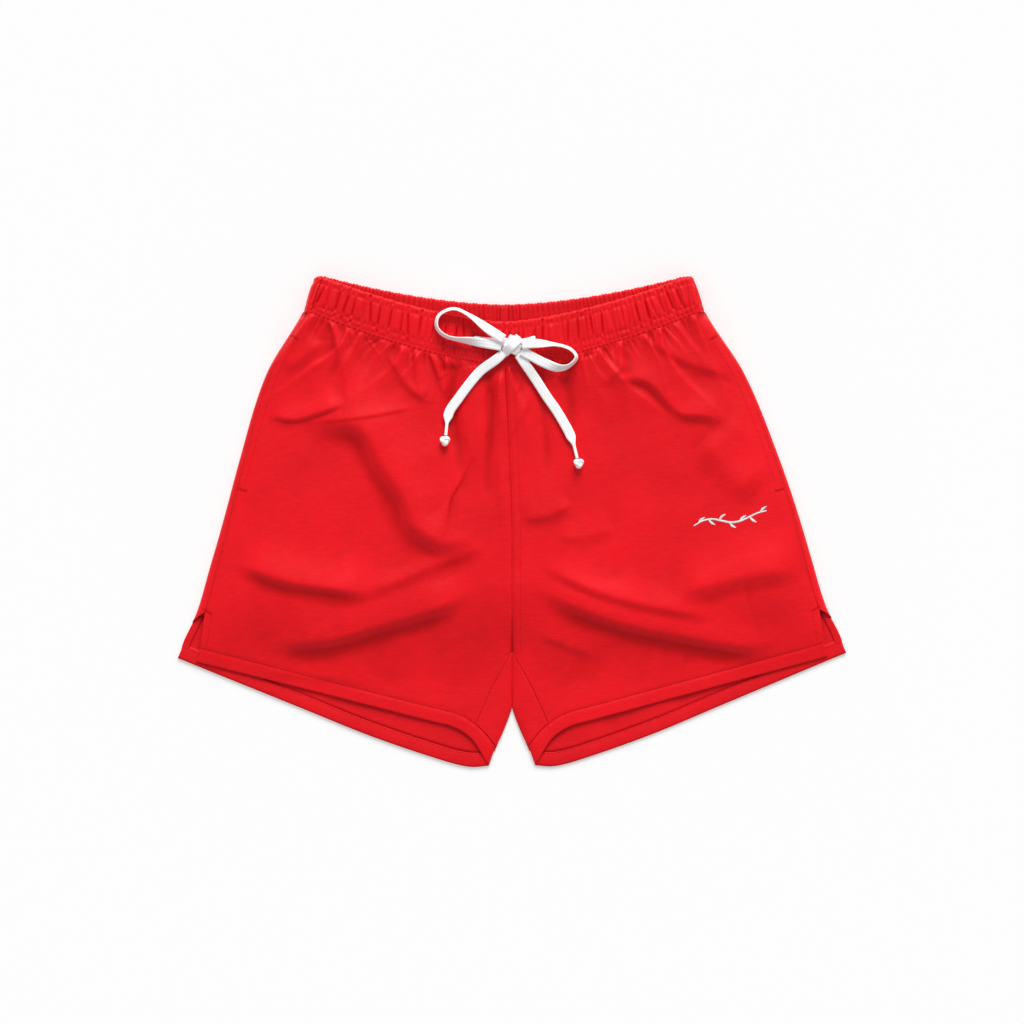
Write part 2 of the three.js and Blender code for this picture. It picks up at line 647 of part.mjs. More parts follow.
// A plain wavy line of satin stitch on the right leg.
function motif() {
  const waves = 3;
  return clothSheet((u, v) => {
    const out = lerp(MOTIF_X[0], MOTIF_X[1], v);
    const swing = Math.sin(v * waves * 2 * Math.PI) * MOTIF_SWING * (1 - 0.5 * v);
    const y = MOTIF_Y + swing + (v - 0.5) * (MOTIF_X[1] - MOTIF_X[0]) * MOTIF_TILT + (u - 0.5) * 2.4;
    return lay(1, out, y, frontHeight(out, y) + CLOTH / 2 + GAP + 0.3);
  }, 1, 30, 0.5);
}

// The seam that closes the waistband's ring at the centre back, on its inside.
function bandJoin() {
  const z = BAND_MID_Z - BAND_RADIUS + WALL + GAP + CLOTH / 2;
  return clothSheet((u, v) => {
    const middle = lay(1, 0, lerp(BACK_SEAM_Y + 2, BACK_TOP_Y - 1, v), z);
    middle.x += lerp(-SEAM_WIDTH / 2, SEAM_WIDTH / 2, u);
    return middle;
  }, 1, 3, CLOTH);
}

// ---- Assembly ----
for (const [name, side] of Object.entries(sides)) {
  addPiece(`front_panel_${name}`, frontPanel(side), shellCloth);
  addPiece(`back_panel_${name}`, backPanel(side), shellCloth);
  addPiece(`front_hem_${name}`, frontHem(side), shellCloth);
  addPiece(`back_hem_${name}`, backHem(side), shellCloth);
  addPiece(`inseam_${name}`, inseam(side), shellCloth);
  addPiece(`side_seam_upper_${name}`, sideSeam(side, 193, POCKET_TOP_Y + 1, 3), shellCloth);
  addPiece(`side_seam_lower_${name}`, sideSeam(side, POCKET_BOTTOM_Y - 1, VENT_TOP[1] + 1, 8), shellCloth);
  addPiece(`vent_facing_front_${name}`, ventFacing(side, true), innerCloth);
  addPiece(`vent_facing_back_${name}`, ventFacing(side, false), innerCloth);
  addPiece(`pocket_bag_front_${name}`, pocketLayer(side, true), bagCloth);
  addPiece(`pocket_bag_back_${name}`, pocketLayer(side, false), bagCloth);
  const pocketTack = (y, turn) => tack(side, frontSide(y) - TACK_INSET, y, turn);
  addPiece(`pocket_tack_top_${name}`, pocketTack(POCKET_TOP_Y, 0.5), redThread);
  addPiece(`pocket_tack_bottom_${name}`, pocketTack(POCKET_BOTTOM_Y, 0), redThread);
  addPiece(`vent_tack_${name}`, tack(side, VENT_TOP[0] - 4, VENT_TOP[1] + 2, 0), redThread);
  addPiece(`eyelet_${name}`, eyelet(side), redThread);
  addPiece(`drawcord_stub_${name}`, stub(side), knitWhite);
}
const underFront = (y) => frontHeight(0, y - 5) - CLOTH - GAP;
addPiece("front_rise_seam", riseSeam(FRONT_SEAM_Y - 2, underFront), innerCloth);
addPiece("back_rise_seam", riseSeam(BACK_SEAM_Y - 2, () => BACK_Z + CLOTH + GAP), innerCloth);
addPiece("waistband_casing", casing(), shellCloth);
addPiece("waistband_join", bandJoin(), innerCloth);
addPiece("waist_elastic", waistRing(ELASTIC_PROFILE), elasticWhite);
const eyeletU = (EYELET_SPREAD + 3) / bandHalf(0.5);
addPiece("drawcord_in_casing", waistRing(RUN_PROFILE, -eyeletU, eyeletU), knitWhite);
addPiece("bow_knot", bowKnot(), knitWhite);
addPiece("bow_loop_left", cord(LEFT_LOOP, 26), knitWhite);
addPiece("bow_loop_right", cord(RIGHT_LOOP, 24), knitWhite);
addPiece("drawcord_tail_left", cord(LEFT_TAIL, 10), knitWhite);
addPiece("drawcord_tail_right", cord(RIGHT_TAIL, 12), knitWhite);
addPiece("tail_knot_left", endKnot(LEFT_TAIL), knitWhite);
addPiece("tail_knot_right", endKnot(RIGHT_TAIL), knitWhite);
addPiece("stitched_motif", motif(), whiteThread);

export default shorts;
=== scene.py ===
"""Boxing shorts laid flat on their back: the cloth, the cord and the materials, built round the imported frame.

The design is in millimetres here and each mesh is made in metres. Left is -X and right is +X.
"""

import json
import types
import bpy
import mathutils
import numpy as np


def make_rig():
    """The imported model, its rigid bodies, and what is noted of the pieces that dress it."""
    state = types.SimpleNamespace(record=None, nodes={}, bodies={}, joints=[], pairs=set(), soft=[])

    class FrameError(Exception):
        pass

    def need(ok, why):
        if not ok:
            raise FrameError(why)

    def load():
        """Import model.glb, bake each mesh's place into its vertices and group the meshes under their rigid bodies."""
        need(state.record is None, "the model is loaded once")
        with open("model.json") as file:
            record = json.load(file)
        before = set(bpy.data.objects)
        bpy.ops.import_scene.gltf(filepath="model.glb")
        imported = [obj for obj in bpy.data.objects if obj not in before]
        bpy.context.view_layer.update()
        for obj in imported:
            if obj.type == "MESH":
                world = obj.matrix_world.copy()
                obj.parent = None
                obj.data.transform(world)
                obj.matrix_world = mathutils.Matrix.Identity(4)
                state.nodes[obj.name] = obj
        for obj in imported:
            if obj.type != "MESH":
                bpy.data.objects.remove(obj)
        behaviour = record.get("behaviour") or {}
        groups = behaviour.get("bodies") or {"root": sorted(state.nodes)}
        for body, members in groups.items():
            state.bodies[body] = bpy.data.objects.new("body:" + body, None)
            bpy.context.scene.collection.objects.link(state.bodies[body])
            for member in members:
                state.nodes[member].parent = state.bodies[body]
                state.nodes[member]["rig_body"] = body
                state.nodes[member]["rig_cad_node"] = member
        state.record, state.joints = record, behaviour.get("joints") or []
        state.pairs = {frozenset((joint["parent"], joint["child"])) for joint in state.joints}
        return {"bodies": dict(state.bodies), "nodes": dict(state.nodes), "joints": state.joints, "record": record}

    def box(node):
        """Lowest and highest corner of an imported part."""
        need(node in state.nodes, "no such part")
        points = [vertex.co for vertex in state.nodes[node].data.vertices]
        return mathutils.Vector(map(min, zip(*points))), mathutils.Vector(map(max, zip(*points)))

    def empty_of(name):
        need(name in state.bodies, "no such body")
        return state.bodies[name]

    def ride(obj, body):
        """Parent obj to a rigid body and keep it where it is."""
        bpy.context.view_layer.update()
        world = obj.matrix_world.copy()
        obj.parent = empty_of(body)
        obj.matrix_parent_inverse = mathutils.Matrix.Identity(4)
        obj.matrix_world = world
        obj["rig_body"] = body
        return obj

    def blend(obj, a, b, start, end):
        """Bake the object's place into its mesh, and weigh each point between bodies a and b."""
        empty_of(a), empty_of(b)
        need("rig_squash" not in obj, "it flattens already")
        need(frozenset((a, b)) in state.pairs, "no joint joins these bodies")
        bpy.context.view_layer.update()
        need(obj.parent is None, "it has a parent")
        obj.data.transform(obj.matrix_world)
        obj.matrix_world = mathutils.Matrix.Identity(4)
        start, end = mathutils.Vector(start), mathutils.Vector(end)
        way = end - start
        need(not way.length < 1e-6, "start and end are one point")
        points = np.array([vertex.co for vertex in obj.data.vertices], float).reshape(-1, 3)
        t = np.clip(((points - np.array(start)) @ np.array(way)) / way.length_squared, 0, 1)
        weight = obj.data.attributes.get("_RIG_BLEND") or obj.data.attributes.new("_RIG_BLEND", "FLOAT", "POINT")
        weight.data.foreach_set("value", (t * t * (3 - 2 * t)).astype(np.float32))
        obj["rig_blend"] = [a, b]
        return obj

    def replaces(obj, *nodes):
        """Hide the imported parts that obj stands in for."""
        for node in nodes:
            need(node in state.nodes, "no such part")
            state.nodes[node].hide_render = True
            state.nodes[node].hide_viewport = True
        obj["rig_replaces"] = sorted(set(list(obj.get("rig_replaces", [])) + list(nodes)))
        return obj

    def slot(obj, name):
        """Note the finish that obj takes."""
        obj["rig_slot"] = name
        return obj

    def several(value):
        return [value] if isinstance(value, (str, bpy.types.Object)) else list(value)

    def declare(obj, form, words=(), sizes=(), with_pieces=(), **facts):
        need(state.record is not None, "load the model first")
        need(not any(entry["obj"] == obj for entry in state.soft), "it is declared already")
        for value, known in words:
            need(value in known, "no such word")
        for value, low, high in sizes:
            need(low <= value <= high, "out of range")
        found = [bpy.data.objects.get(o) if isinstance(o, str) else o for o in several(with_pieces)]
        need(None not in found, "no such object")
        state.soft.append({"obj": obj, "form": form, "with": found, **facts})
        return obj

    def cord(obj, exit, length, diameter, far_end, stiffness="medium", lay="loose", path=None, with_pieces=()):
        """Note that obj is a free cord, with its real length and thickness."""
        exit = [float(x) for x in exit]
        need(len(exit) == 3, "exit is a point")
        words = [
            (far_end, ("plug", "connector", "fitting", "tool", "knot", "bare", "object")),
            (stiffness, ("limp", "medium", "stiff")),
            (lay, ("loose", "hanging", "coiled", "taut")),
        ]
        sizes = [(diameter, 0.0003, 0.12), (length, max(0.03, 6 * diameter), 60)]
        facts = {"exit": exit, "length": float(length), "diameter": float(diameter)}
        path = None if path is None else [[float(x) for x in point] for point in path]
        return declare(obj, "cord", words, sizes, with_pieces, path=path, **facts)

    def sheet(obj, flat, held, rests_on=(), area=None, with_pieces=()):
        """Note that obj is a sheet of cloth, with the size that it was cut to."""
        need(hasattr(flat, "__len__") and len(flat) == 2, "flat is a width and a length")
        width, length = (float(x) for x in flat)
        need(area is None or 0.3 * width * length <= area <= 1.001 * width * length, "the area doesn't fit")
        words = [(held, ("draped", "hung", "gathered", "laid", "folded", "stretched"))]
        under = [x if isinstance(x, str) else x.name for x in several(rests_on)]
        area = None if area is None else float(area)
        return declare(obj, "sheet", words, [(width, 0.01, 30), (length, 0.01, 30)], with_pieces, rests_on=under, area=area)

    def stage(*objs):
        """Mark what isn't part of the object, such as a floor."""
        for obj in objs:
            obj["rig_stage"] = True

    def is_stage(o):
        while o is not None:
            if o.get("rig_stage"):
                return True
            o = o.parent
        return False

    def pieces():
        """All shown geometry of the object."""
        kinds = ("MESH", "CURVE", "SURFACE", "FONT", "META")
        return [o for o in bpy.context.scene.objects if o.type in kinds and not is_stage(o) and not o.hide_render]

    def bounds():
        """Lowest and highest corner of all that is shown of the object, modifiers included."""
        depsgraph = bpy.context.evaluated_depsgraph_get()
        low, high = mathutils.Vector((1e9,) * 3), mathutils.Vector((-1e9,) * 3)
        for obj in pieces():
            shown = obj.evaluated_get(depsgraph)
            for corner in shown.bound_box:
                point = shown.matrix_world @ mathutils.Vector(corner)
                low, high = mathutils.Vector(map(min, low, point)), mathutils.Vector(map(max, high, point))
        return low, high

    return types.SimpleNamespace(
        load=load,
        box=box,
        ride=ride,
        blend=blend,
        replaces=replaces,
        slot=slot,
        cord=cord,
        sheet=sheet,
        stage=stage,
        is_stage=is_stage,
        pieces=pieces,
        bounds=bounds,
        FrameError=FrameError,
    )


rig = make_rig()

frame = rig.load()

import json
import math

import bpy
import numpy as np
from mathutils import Vector

CAD_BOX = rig.bounds()
MM = 0.001
SIDES = {"left": -1, "right": 1}

# ---- Sizes shared with the CAD, in millimetres ----
WAIST_HALF_TOP = 180
WAIST_HALF_SEAM = 191
BAND_HEIGHT = 38
BAND_DEPTH = 4.4
BAND_RADIUS = 5.75
BAND_MID_Z = 8.25
BAND_HALF_SEAM = 182.75  # half the straight run of the band along its seam, between its turns
LAY_SKEW = 7.5
LAY_TILT = 2.5
CROTCH_Y = -129
LEGS_PART_Y = -178
LEG_GAP = 0.2
LEG_CORNER = (22, -233)
VENT_TOP = (292.8, -86)
FRONT_TOP_Z = 16.1
FOLD_Z = 1.1
SIDE_FALL = 64
INSEAM_FALL = 24
HALF_WIDTH = [
    (-130, 319), (-112, 313.6), (-84, 300), (-37, 286), (60, 257), (140, 228), (198, 192.5), (232, 179.5),
]
INSEAM = [(-195, 38.5), (-173, 28), (-158, 20.3), (-142, 11), (-127, 1.2)]
HEM_EDGE = [
    (301, -131), (190, -160), (80, -189), (60, -194), (48, -199.5), (38, -207.5), (30, -219), (22, -233),
]
HEM_STITCH = [
    (297.7, -117.5), (190, -146.4), (80, -175.2), (57, -181),
    (44, -186.5), (34, -193.5), (25, -202), (15.5, -214),
]
HEM_INSEAM_T = 0.905  # how far along the hem the inseam crosses it
HEM_LAP = 0.2  # how far down the turned-up hem the front cloth reaches, as a share of the hem's depth
BACK_HEM = [(22, -233), (40, -234), (65, -228), (133, -204.5), (200, -177), (319, -128)]
HEM_DEPTH = 13
POCKET_TOP_Y = 172
POCKET_BOTTOM_Y = 32
VENT_FOOT_Y = -122
VENT_SLANT = 0.17  # how far out the front's edge of the vent runs for each millimetre down
CLOTH_THICK = 0.6

# ---- Drawcord routes, the same as the CAD's, in metres ----
CORD_WIDTH = 0.010
CORD_THICK = 0.0018
TAIL_POINTS = {
    "left": [
        (-0.008, 0.159, 0.0212), (-0.015, 0.153, 0.0209), (-0.029, 0.143, 0.0184), (-0.039, 0.132, 0.0178),
        (-0.051, 0.116, 0.0176), (-0.060, 0.102, 0.0176), (-0.0629, 0.081, 0.0176),
    ],
    "right": [
        (0.006, 0.1575, 0.0212), (0.013, 0.148, 0.0209), (0.022, 0.135, 0.0184), (0.033, 0.118, 0.0178),
        (0.044, 0.102, 0.0176), (0.056, 0.080, 0.0176), (0.0619, 0.0595, 0.0176),
    ],
}
LOOP_POINTS = {
    "left": [
        (-0.008, 0.172, 0.0264), (-0.023, 0.182, 0.0256), (-0.039, 0.194, 0.023), (-0.055, 0.201, 0.022),
        (-0.069, 0.195, 0.022), (-0.071, 0.183, 0.022), (-0.060, 0.174, 0.022), (-0.036, 0.170, 0.0226),
        (-0.010, 0.1655, 0.0236),
    ],
    "right": [
        (0.0095, 0.167, 0.0264), (0.024, 0.168, 0.0256), (0.042, 0.167, 0.023), (0.055, 0.163, 0.022),
        (0.061, 0.155, 0.022), (0.054, 0.147, 0.022), (0.044, 0.145, 0.022), (0.030, 0.150, 0.0226),
        (0.009, 0.161, 0.0236),
    ],
}


# ---- Camera, light and floor ----
WORLD_LIGHT = 0.53
KEY_LIGHT = 3.2
KEY_SPREAD = 30  # degrees
KEY_DIRECTION = (-0.12, -0.85, -0.54)
FLOOR_HALF = 9
FLOOR_Z = -0.0004
FLOOR_GREY = 0.62
FLOOR_GLOW = 0.32


def make_camera():
    """Straight above the shorts."""
    distance = 2.6
    view_width = 0.973
    data = bpy.data.cameras.new("camera")
    data.sensor_width = 36
    data.lens = 18 * distance / (view_width / 2)
    camera = bpy.data.objects.new("camera", data)
    camera.location = (0, 0.0085, distance + 0.014)
    bpy.context.collection.objects.link(camera)
    bpy.context.scene.camera = camera


def make_studio():
    scene = bpy.context.scene
    scene.view_settings.view_transform = "Standard"
    world = bpy.data.worlds.new("studio")
    world.use_nodes = True
    background = world.node_tree.nodes["Background"]
    background.inputs["Color"].default_value = (1, 1, 1, 1)
    background.inputs["Strength"].default_value = WORLD_LIGHT
    scene.world = world
    key = bpy.data.lights.new("key", "SUN")
    key.energy = KEY_LIGHT
    key.angle = math.radians(KEY_SPREAD)
    lamp = bpy.data.objects.new("key", key)
    lamp.rotation_euler = Vector(KEY_DIRECTION).to_track_quat("-Z", "Y").to_euler()
    bpy.context.collection.objects.link(lamp)
    floor_data = bpy.data.meshes.new("floor")
    s = FLOOR_HALF
    floor_data.from_pydata([(-s, -s, 0), (s, -s, 0), (s, s, 0), (-s, s, 0)], [], [(0, 1, 2, 3)])
    floor = bpy.data.objects.new("floor", floor_data)
    floor.location.z = FLOOR_Z
    bpy.context.collection.objects.link(floor)
    material = bpy.data.materials.new("floor_white")
    material.use_nodes = True
    shader = material.node_tree.nodes["Principled BSDF"]
    shader.inputs["Base Color"].default_value = (FLOOR_GREY, FLOOR_GREY, FLOOR_GREY, 1)
    shader.inputs["Roughness"].default_value = 0.9
    shader.inputs["Specular IOR Level"].default_value = 0.1
    shader.inputs["Emission Color"].default_value = (1, 1, 1, 1)
    shader.inputs["Emission Strength"].default_value = FLOOR_GLOW
    floor_data.materials.append(material)
    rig.stage(floor)


make_camera()
make_studio()


# ---- Numbers and curves ----
def ease(t):
    c = np.clip(t, 0, 1)
    return c * c * (3 - 2 * c)


def lerp(a, b, t):
    return a + (b - a) * t


def unit(v):
    return v / np.maximum(np.linalg.norm(v, axis=-1, keepdims=True), 1e-9)


def run_of(line):
    """How far along a line each of its points is."""
    return np.concatenate([[0], np.cumsum(np.linalg.norm(np.diff(line, axis=0), axis=1))])


def curve_through(points):
    """A smooth function through (x, y) points given in rising x."""
    x, y = np.array(points, float).T
    slope = np.gradient(y, x)
    slope[1:-1] = (y[2:] - y[:-2]) / (x[2:] - x[:-2])
    slope[0], slope[-1] = (y[1] - y[0]) / (x[1] - x[0]), (y[-1] - y[-2]) / (x[-1] - x[-2])

    def at(value):
        value = np.asarray(value, float)
        i = np.clip(np.searchsorted(x, value) - 1, 0, len(x) - 2)
        w = x[i + 1] - x[i]
        t = np.clip((value - x[i]) / w, 0, 1)
        bend = (1 - t) ** 2 * t * w * slope[i] - t * t * (1 - t) * w * slope[i + 1]
        return lerp(y[i], y[i + 1], ease(t)) + bend

    return at


def route_through(points, steps=400):
    """A function of 0..1 along a smooth route through points of any dimension, at an even pace."""
    p = np.array(points, float)
    ends = np.vstack([2 * p[0] - p[1], p, 2 * p[-1] - p[-2]])
    dense = []
    for i in range(len(p) - 1):
        a, b, c, d = ends[i : i + 4]
        t = np.linspace(0, 1, max(2, steps // (len(p) - 1)), endpoint=i == len(p) - 2)[:, None]
        dense.append(
            0.5 * (2 * b + (c - a) * t + (2 * a - 5 * b + 4 * c - d) * t**2 + (3 * b - a - 3 * c + d) * t**3)
        )
    dense = np.vstack(dense)
    run = run_of(dense)

    def at(t):
        return np.stack([np.interp(np.asarray(t) * run[-1], run, dense[:, k]) for k in range(p.shape[1])], -1)

    at.length = run[-1]
    return at


half_width = curve_through(HALF_WIDTH)
hem_edge = route_through(HEM_EDGE)
hem_stitch = route_through(HEM_STITCH)
back_hem_edge = curve_through(BACK_HEM)
inseam_out = curve_through(INSEAM)


def front_seam_y(u):
    return 149 + 49.5 * np.abs(u) ** 1.5


def front_top_y(u):
    return 189 + 42 * np.abs(u) ** 1.5


def back_seam_y(u):
    return 168 + 30.5 * np.abs(u) ** 1.7


def back_top_y(u):
    return 206 + 27 * np.abs(u) ** 1.7


def skew(y):
    return LAY_SKEW * ease((y + 20) / 220)


def lay(side, out, y):
    """Where a point of the evenly drawn pattern lies."""
    x = -skew(y) + side * out
    return x, y + side * LAY_TILT * ease((-50 - y) / 60) * np.clip(out / 300, 0, 1)


def inner_fold(y):
    t = np.clip((LEGS_PART_Y - y) / (LEGS_PART_Y - LEG_CORNER[1]), 0, 1)
    return lerp(LEG_GAP, LEG_CORNER[0], t**1.12)


def side_inset(y):
    """How far inside the outline the side seam lies."""
    return lerp(4, 8, ease((60 - y) / 144))


def vent_edge(y):
    """How far out the front's edge of the vent lies."""
    return VENT_TOP[0] + (VENT_TOP[1] - y) * VENT_SLANT


# ---- Folds of the front cloth ----
# Each fold is a route along its shaded flank, with its height and the widths of its shaded and lit flanks.
FOLDS = [
    ([(-236, 101), (-210, 95), (-184, 101), (-155, 112)], 1.9, 3.5, 12),
    ([(-195, 92), (-140, 98), (-86, 108)], 0.7, 2, 7),
    ([(-200, 86), (-150, 84), (-128, 50), (-108, 20), (-96, -8), (-66, -26), (-26, -20)], 6.6, 15, 34),
    ([(-216, 140), (-198, 153), (-178, 170)], 1.6, 6, 12),
    ([(-121, 160), (-99, 126), (-74, 109)], 1.5, 4, 9),
    ([(-268, -42), (-245, -50), (-216, -60), (-173, -67), (-128, -73)], 4.2, 8, 24),
    ([(-150, -74), (-108, -60), (-58, -38), (-18, -26)], 1.8, 7, 14),
    ([(-238, -121), (-178, -118), (-127, -104), (-72, -87), (-30, -70)], 5.2, 11, 30),
    ([(20, -38), (60, -61), (117, -80), (200, -95)], 2.0, 6, 16),
    ([(14, -60), (51, -81), (105, -101), (161, -113), (226, -123), (262, -108)], 5.0, 10, 26),
    ([(155, -76), (190, -65), (232, -56), (280, -52)], 3.4, 12, 26),
    ([(24, -108), (50, -120), (80, -130)], 1.2, 5, 12),
    ([(118, 176), (157, 153), (182, 143), (214, 134)], 1.8, 6, 13),
    ([(92, 133), (126, 131), (146, 112), (160, 100), (185, 97), (208, 91)], 3.0, 6, 20),
    ([(84, 126), (100, 139), (112, 152)], 1.2, 5, 10),
    ([(172, 72), (196, 48), (222, 16)], 2.4, 16, 26),
    ([(8, 0), (34, 3), (60, 14)], 1.8, 6, 15),
    ([(40, -20), (70, -18), (100, -8)], 1.2, 8, 16),
    ([(-250, -146), (-190, -150), (-120, -160)], 0.9, 8, 18),
]
# Soft upright folds under the bow: a route, a height and a width.
DRAPES = [
    ([(-58, 152), (-57, 105), (-48, 48), (-40, 8)], -1.5, 8),
    ([(-40, 150), (-34, 90), (-32, 40)], 0.7, 7),
    ([(-24, 146), (-20, 100), (-24, 50), (-24, 2)], -0.9, 6),
    ([(26, 148), (30, 100), (34, 55), (26, 16)], -1.0, 7),
    ([(50, 152), (56, 110), (52, 66)], -1.6, 8),
    ([(72, 158), (84, 120), (90, 84)], 0.8, 9),
    ([(-14, 146), (-12, 80), (-9, 10), (-6, -50)], 0.7, 5),
]


def along_and_off(route, x, y):
    """For points x, y: how far along a route each is (0..1), and its signed distance to the left of it."""
    line = route(np.linspace(0, 1, 41))
    best = np.full(x.shape, np.inf)
    off = np.zeros(x.shape)
    along = np.zeros(x.shape)
    for i in range(len(line) - 1):
        (ax, ay), (bx, by) = line[i], line[i + 1]
        dx, dy = bx - ax, by - ay
        size = dx * dx + dy * dy
        t = np.clip(((x - ax) * dx + (y - ay) * dy) / size, 0, 1)
        gx, gy = x - ax - t * dx, y - ay - t * dy
        near = gx * gx + gy * gy
        closer = near < best
        best = np.where(closer, near, best)
        sign = np.where(dx * gy - dy * gx >= 0, 1, -1)
        off = np.where(closer, sign * np.sqrt(near), off)
        along = np.where(closer, (i + t) / (len(line) - 1), along)
    return along, off


FOLD_GAIN = 1.22
SHADED_SHARE = 0.8
DRAPE_GAIN = 2.0
GATHER_GAIN = 1.5
FIELD_X = np.arange(-335, 336, 1.0)
FIELD_Y = np.arange(-250, 246, 1.0)


def window_of(points, margin):
    """The part of the field round a route: its slices and its places."""
    low, high = np.min(points, axis=0) - margin, np.max(points, axis=0) + margin
    i = slice(*np.searchsorted(FIELD_X, (low[0], high[0])))
    j = slice(*np.searchsorted(FIELD_Y, (low[1], high[1])))
    x, y = np.meshgrid(FIELD_X[i], FIELD_Y[j])
    return (j, i), x, y


def fold_field():
    """The height of all the folds, one value for each square millimetre."""
    total = np.zeros((len(FIELD_Y), len(FIELD_X)))
    for points, height, shaded, lit in FOLDS:
        part, x, y = window_of(points, 2.5 * lit)
        along, off = along_and_off(route_through(points, 80), x, y)
        steep = shaded * SHADED_SHARE
        crest = off - steep * 0.7
        lit_side = np.exp(-np.abs(crest / lit) ** 1.5)
        profile = np.where(crest > 0, lit_side, np.exp(-np.abs(crest / steep) ** 2.2))
        ends = ease(along / 0.25) * ease((1 - along) / 0.25)
        total[part] += FOLD_GAIN * height * profile * ends
    for points, height, width in DRAPES:
        part, x, y = window_of(points, 2.5 * width)
        along, off = along_and_off(route_through(points, 80), x, y)
        ends = ease((1 - along) / 0.5) * ease(along / 0.06)
        total[part] += DRAPE_GAIN * height * np.exp(-((off / width) ** 2)) * ends
    x, y = np.meshgrid(FIELD_X, FIELD_Y)
    return total - 1.6 + 0.5 * ripple(x, y, 5, 90, 30) + 0.07 * ripple(x, y, 6, 22, 9)


def cord_field(swings):
    """How far the nearest drawcord tail is, with the tails swung about their exits by each angle."""
    near = np.full((len(FIELD_Y), len(FIELD_X)), 60.0)
    for points in TAIL_POINTS.values():
        for swing in swings:
            flat = np.array(points)[:, :2] / MM
            c, s = math.cos(swing), math.sin(swing)
            flat = flat[0] + (flat - flat[0]) @ np.array([[c, s], [-s, c]])
            part, x, y = window_of(flat, 40)
            _, off = along_and_off(route_through(flat, 80), x, y)
            near[part] = np.minimum(near[part], np.abs(off))
    return near


def sampled(field, x, y):
    """The field's value at places between its points."""
    i = np.clip(np.asarray(x) - FIELD_X[0], 0, len(FIELD_X) - 1.001)
    j = np.clip(np.asarray(y) - FIELD_Y[0], 0, len(FIELD_Y) - 1.001)
    i0, j0 = i.astype(int), j.astype(int)
    s, t = i - i0, j - j0
    low = lerp(field[j0, i0], field[j0, i0 + 1], s)
    return lerp(low, lerp(field[j0 + 1, i0], field[j0 + 1, i0 + 1], s), t)


def ripple(x, y, seed, longest, shortest, count=22):
    """Gentle unevenness, about 1 high: waves in random directions."""
    r = np.random.default_rng(seed)
    total = np.zeros(np.shape(x))
    for _ in range(count):
        length = math.exp(r.uniform(math.log(shortest), math.log(longest)))
        turn, phase = r.uniform(0, 2 * math.pi, 2)
        total += (length / longest) * np.sin(
            2 * math.pi * (x * math.cos(turn) + y * math.sin(turn)) / length + phase
        )
    return total / math.sqrt(count)


def gather_folds():
    """The folds below each half of the waistband: start, slant, bend, reach, width and height."""
    folds = {}
    for side in SIDES.values():
        r = np.random.default_rng(31 + side)
        made = []
        for gap, reach, width, height in (
            ((11, 22), (26, 66), (2.0, 3.4), (1.4, 3.0)),
            ((4, 8), (9, 24), (1.0, 1.7), (0.5, 1.3)),
        ):
            start = r.uniform(2, 8)
            while start < WAIST_HALF_SEAM - 4:
                slant = (start / WAIST_HALF_SEAM) * 0.35 + r.normal(0, 0.3)
                bend = r.normal(0, 0.004)
                made.append((start, slant, bend, r.uniform(*reach), r.uniform(*width), r.uniform(*height)))
                start += r.uniform(*gap)
        folds[side] = made
    return folds


GATHER_FOLDS = gather_folds()


def below_band(out, y):
    """How far below the waistband's seam a place on the front lies."""
    return front_seam_y(np.minimum(out / BAND_HALF_SEAM, 1)) - y


def gathers(side, out, y):
    """Folds that fan out below the waistband."""
    below = below_band(out, y)
    total = np.zeros(np.shape(out))
    if np.min(below) > 150:
        return total
    down = np.clip(below, 0, None)
    for start, slant, bend, reach, width, height in GATHER_FOLDS[side]:
        where = out - start - slant * down - bend * down**2
        spread = width * (1 + down / 24)
        flank = np.where(where > 0, spread * 0.5, spread * 1.6)
        fade = np.exp(-np.abs(where / flank) ** 1.7 - (down / reach) ** 1.7) * ease(down / 4)
        total += GATHER_GAIN * height * fade
    return total - 1.1 * np.exp(-down / 34) * ease(down / 4)


TAIL_SWINGS = (-0.26, -0.13, 0, 0.13, 0.26)  # radians, to within about a degree of the joints' limits
LOW_CAP = 15.85
HIGH_CAP = 26
CAP_SOFTNESS = 0.3
WAIST_FALL = 14
LEG_SAG = 0.7  # the share of its height that the front loses towards the hem
SEAM_DIP = 0.45
UNDER_BAND_Z = 15.5
FOLD_FIELD = fold_field()
CORD_FIELD = cord_field((0,))
SWING_FIELD = cord_field(TAIL_SWINGS)


def clear_of(field, x, y, near, fade):
    """0 within a distance of the cord and 1 away from it, over a fade. The cloth lies low under the cord."""
    return ease((sampled(field, x, y) - near) / fade)


def rounded(t):
    """0 to 1 like a quarter of a circle."""
    c = np.clip(t, 0, 1)
    return np.sqrt(np.clip(1 - (1 - c) ** 2, 0, 1))


def front_base(out, y):
    """Height of the front cloth without its folds."""
    waist = ease((190 - y) / 70)
    fall = lerp(WAIST_FALL, SIDE_FALL, waist)
    side = rounded((half_width(y) - out) / fall)
    inner = rounded((out - inner_fold(y)) / INSEAM_FALL)
    down = ease((CROTCH_Y + 44 - y) / 70)
    body = side * lerp(1, inner, down)
    sag = 1 - LEG_SAG * ease((-60 - y) / 95)
    return FOLD_Z + (FRONT_TOP_Z - FOLD_Z) * body * sag


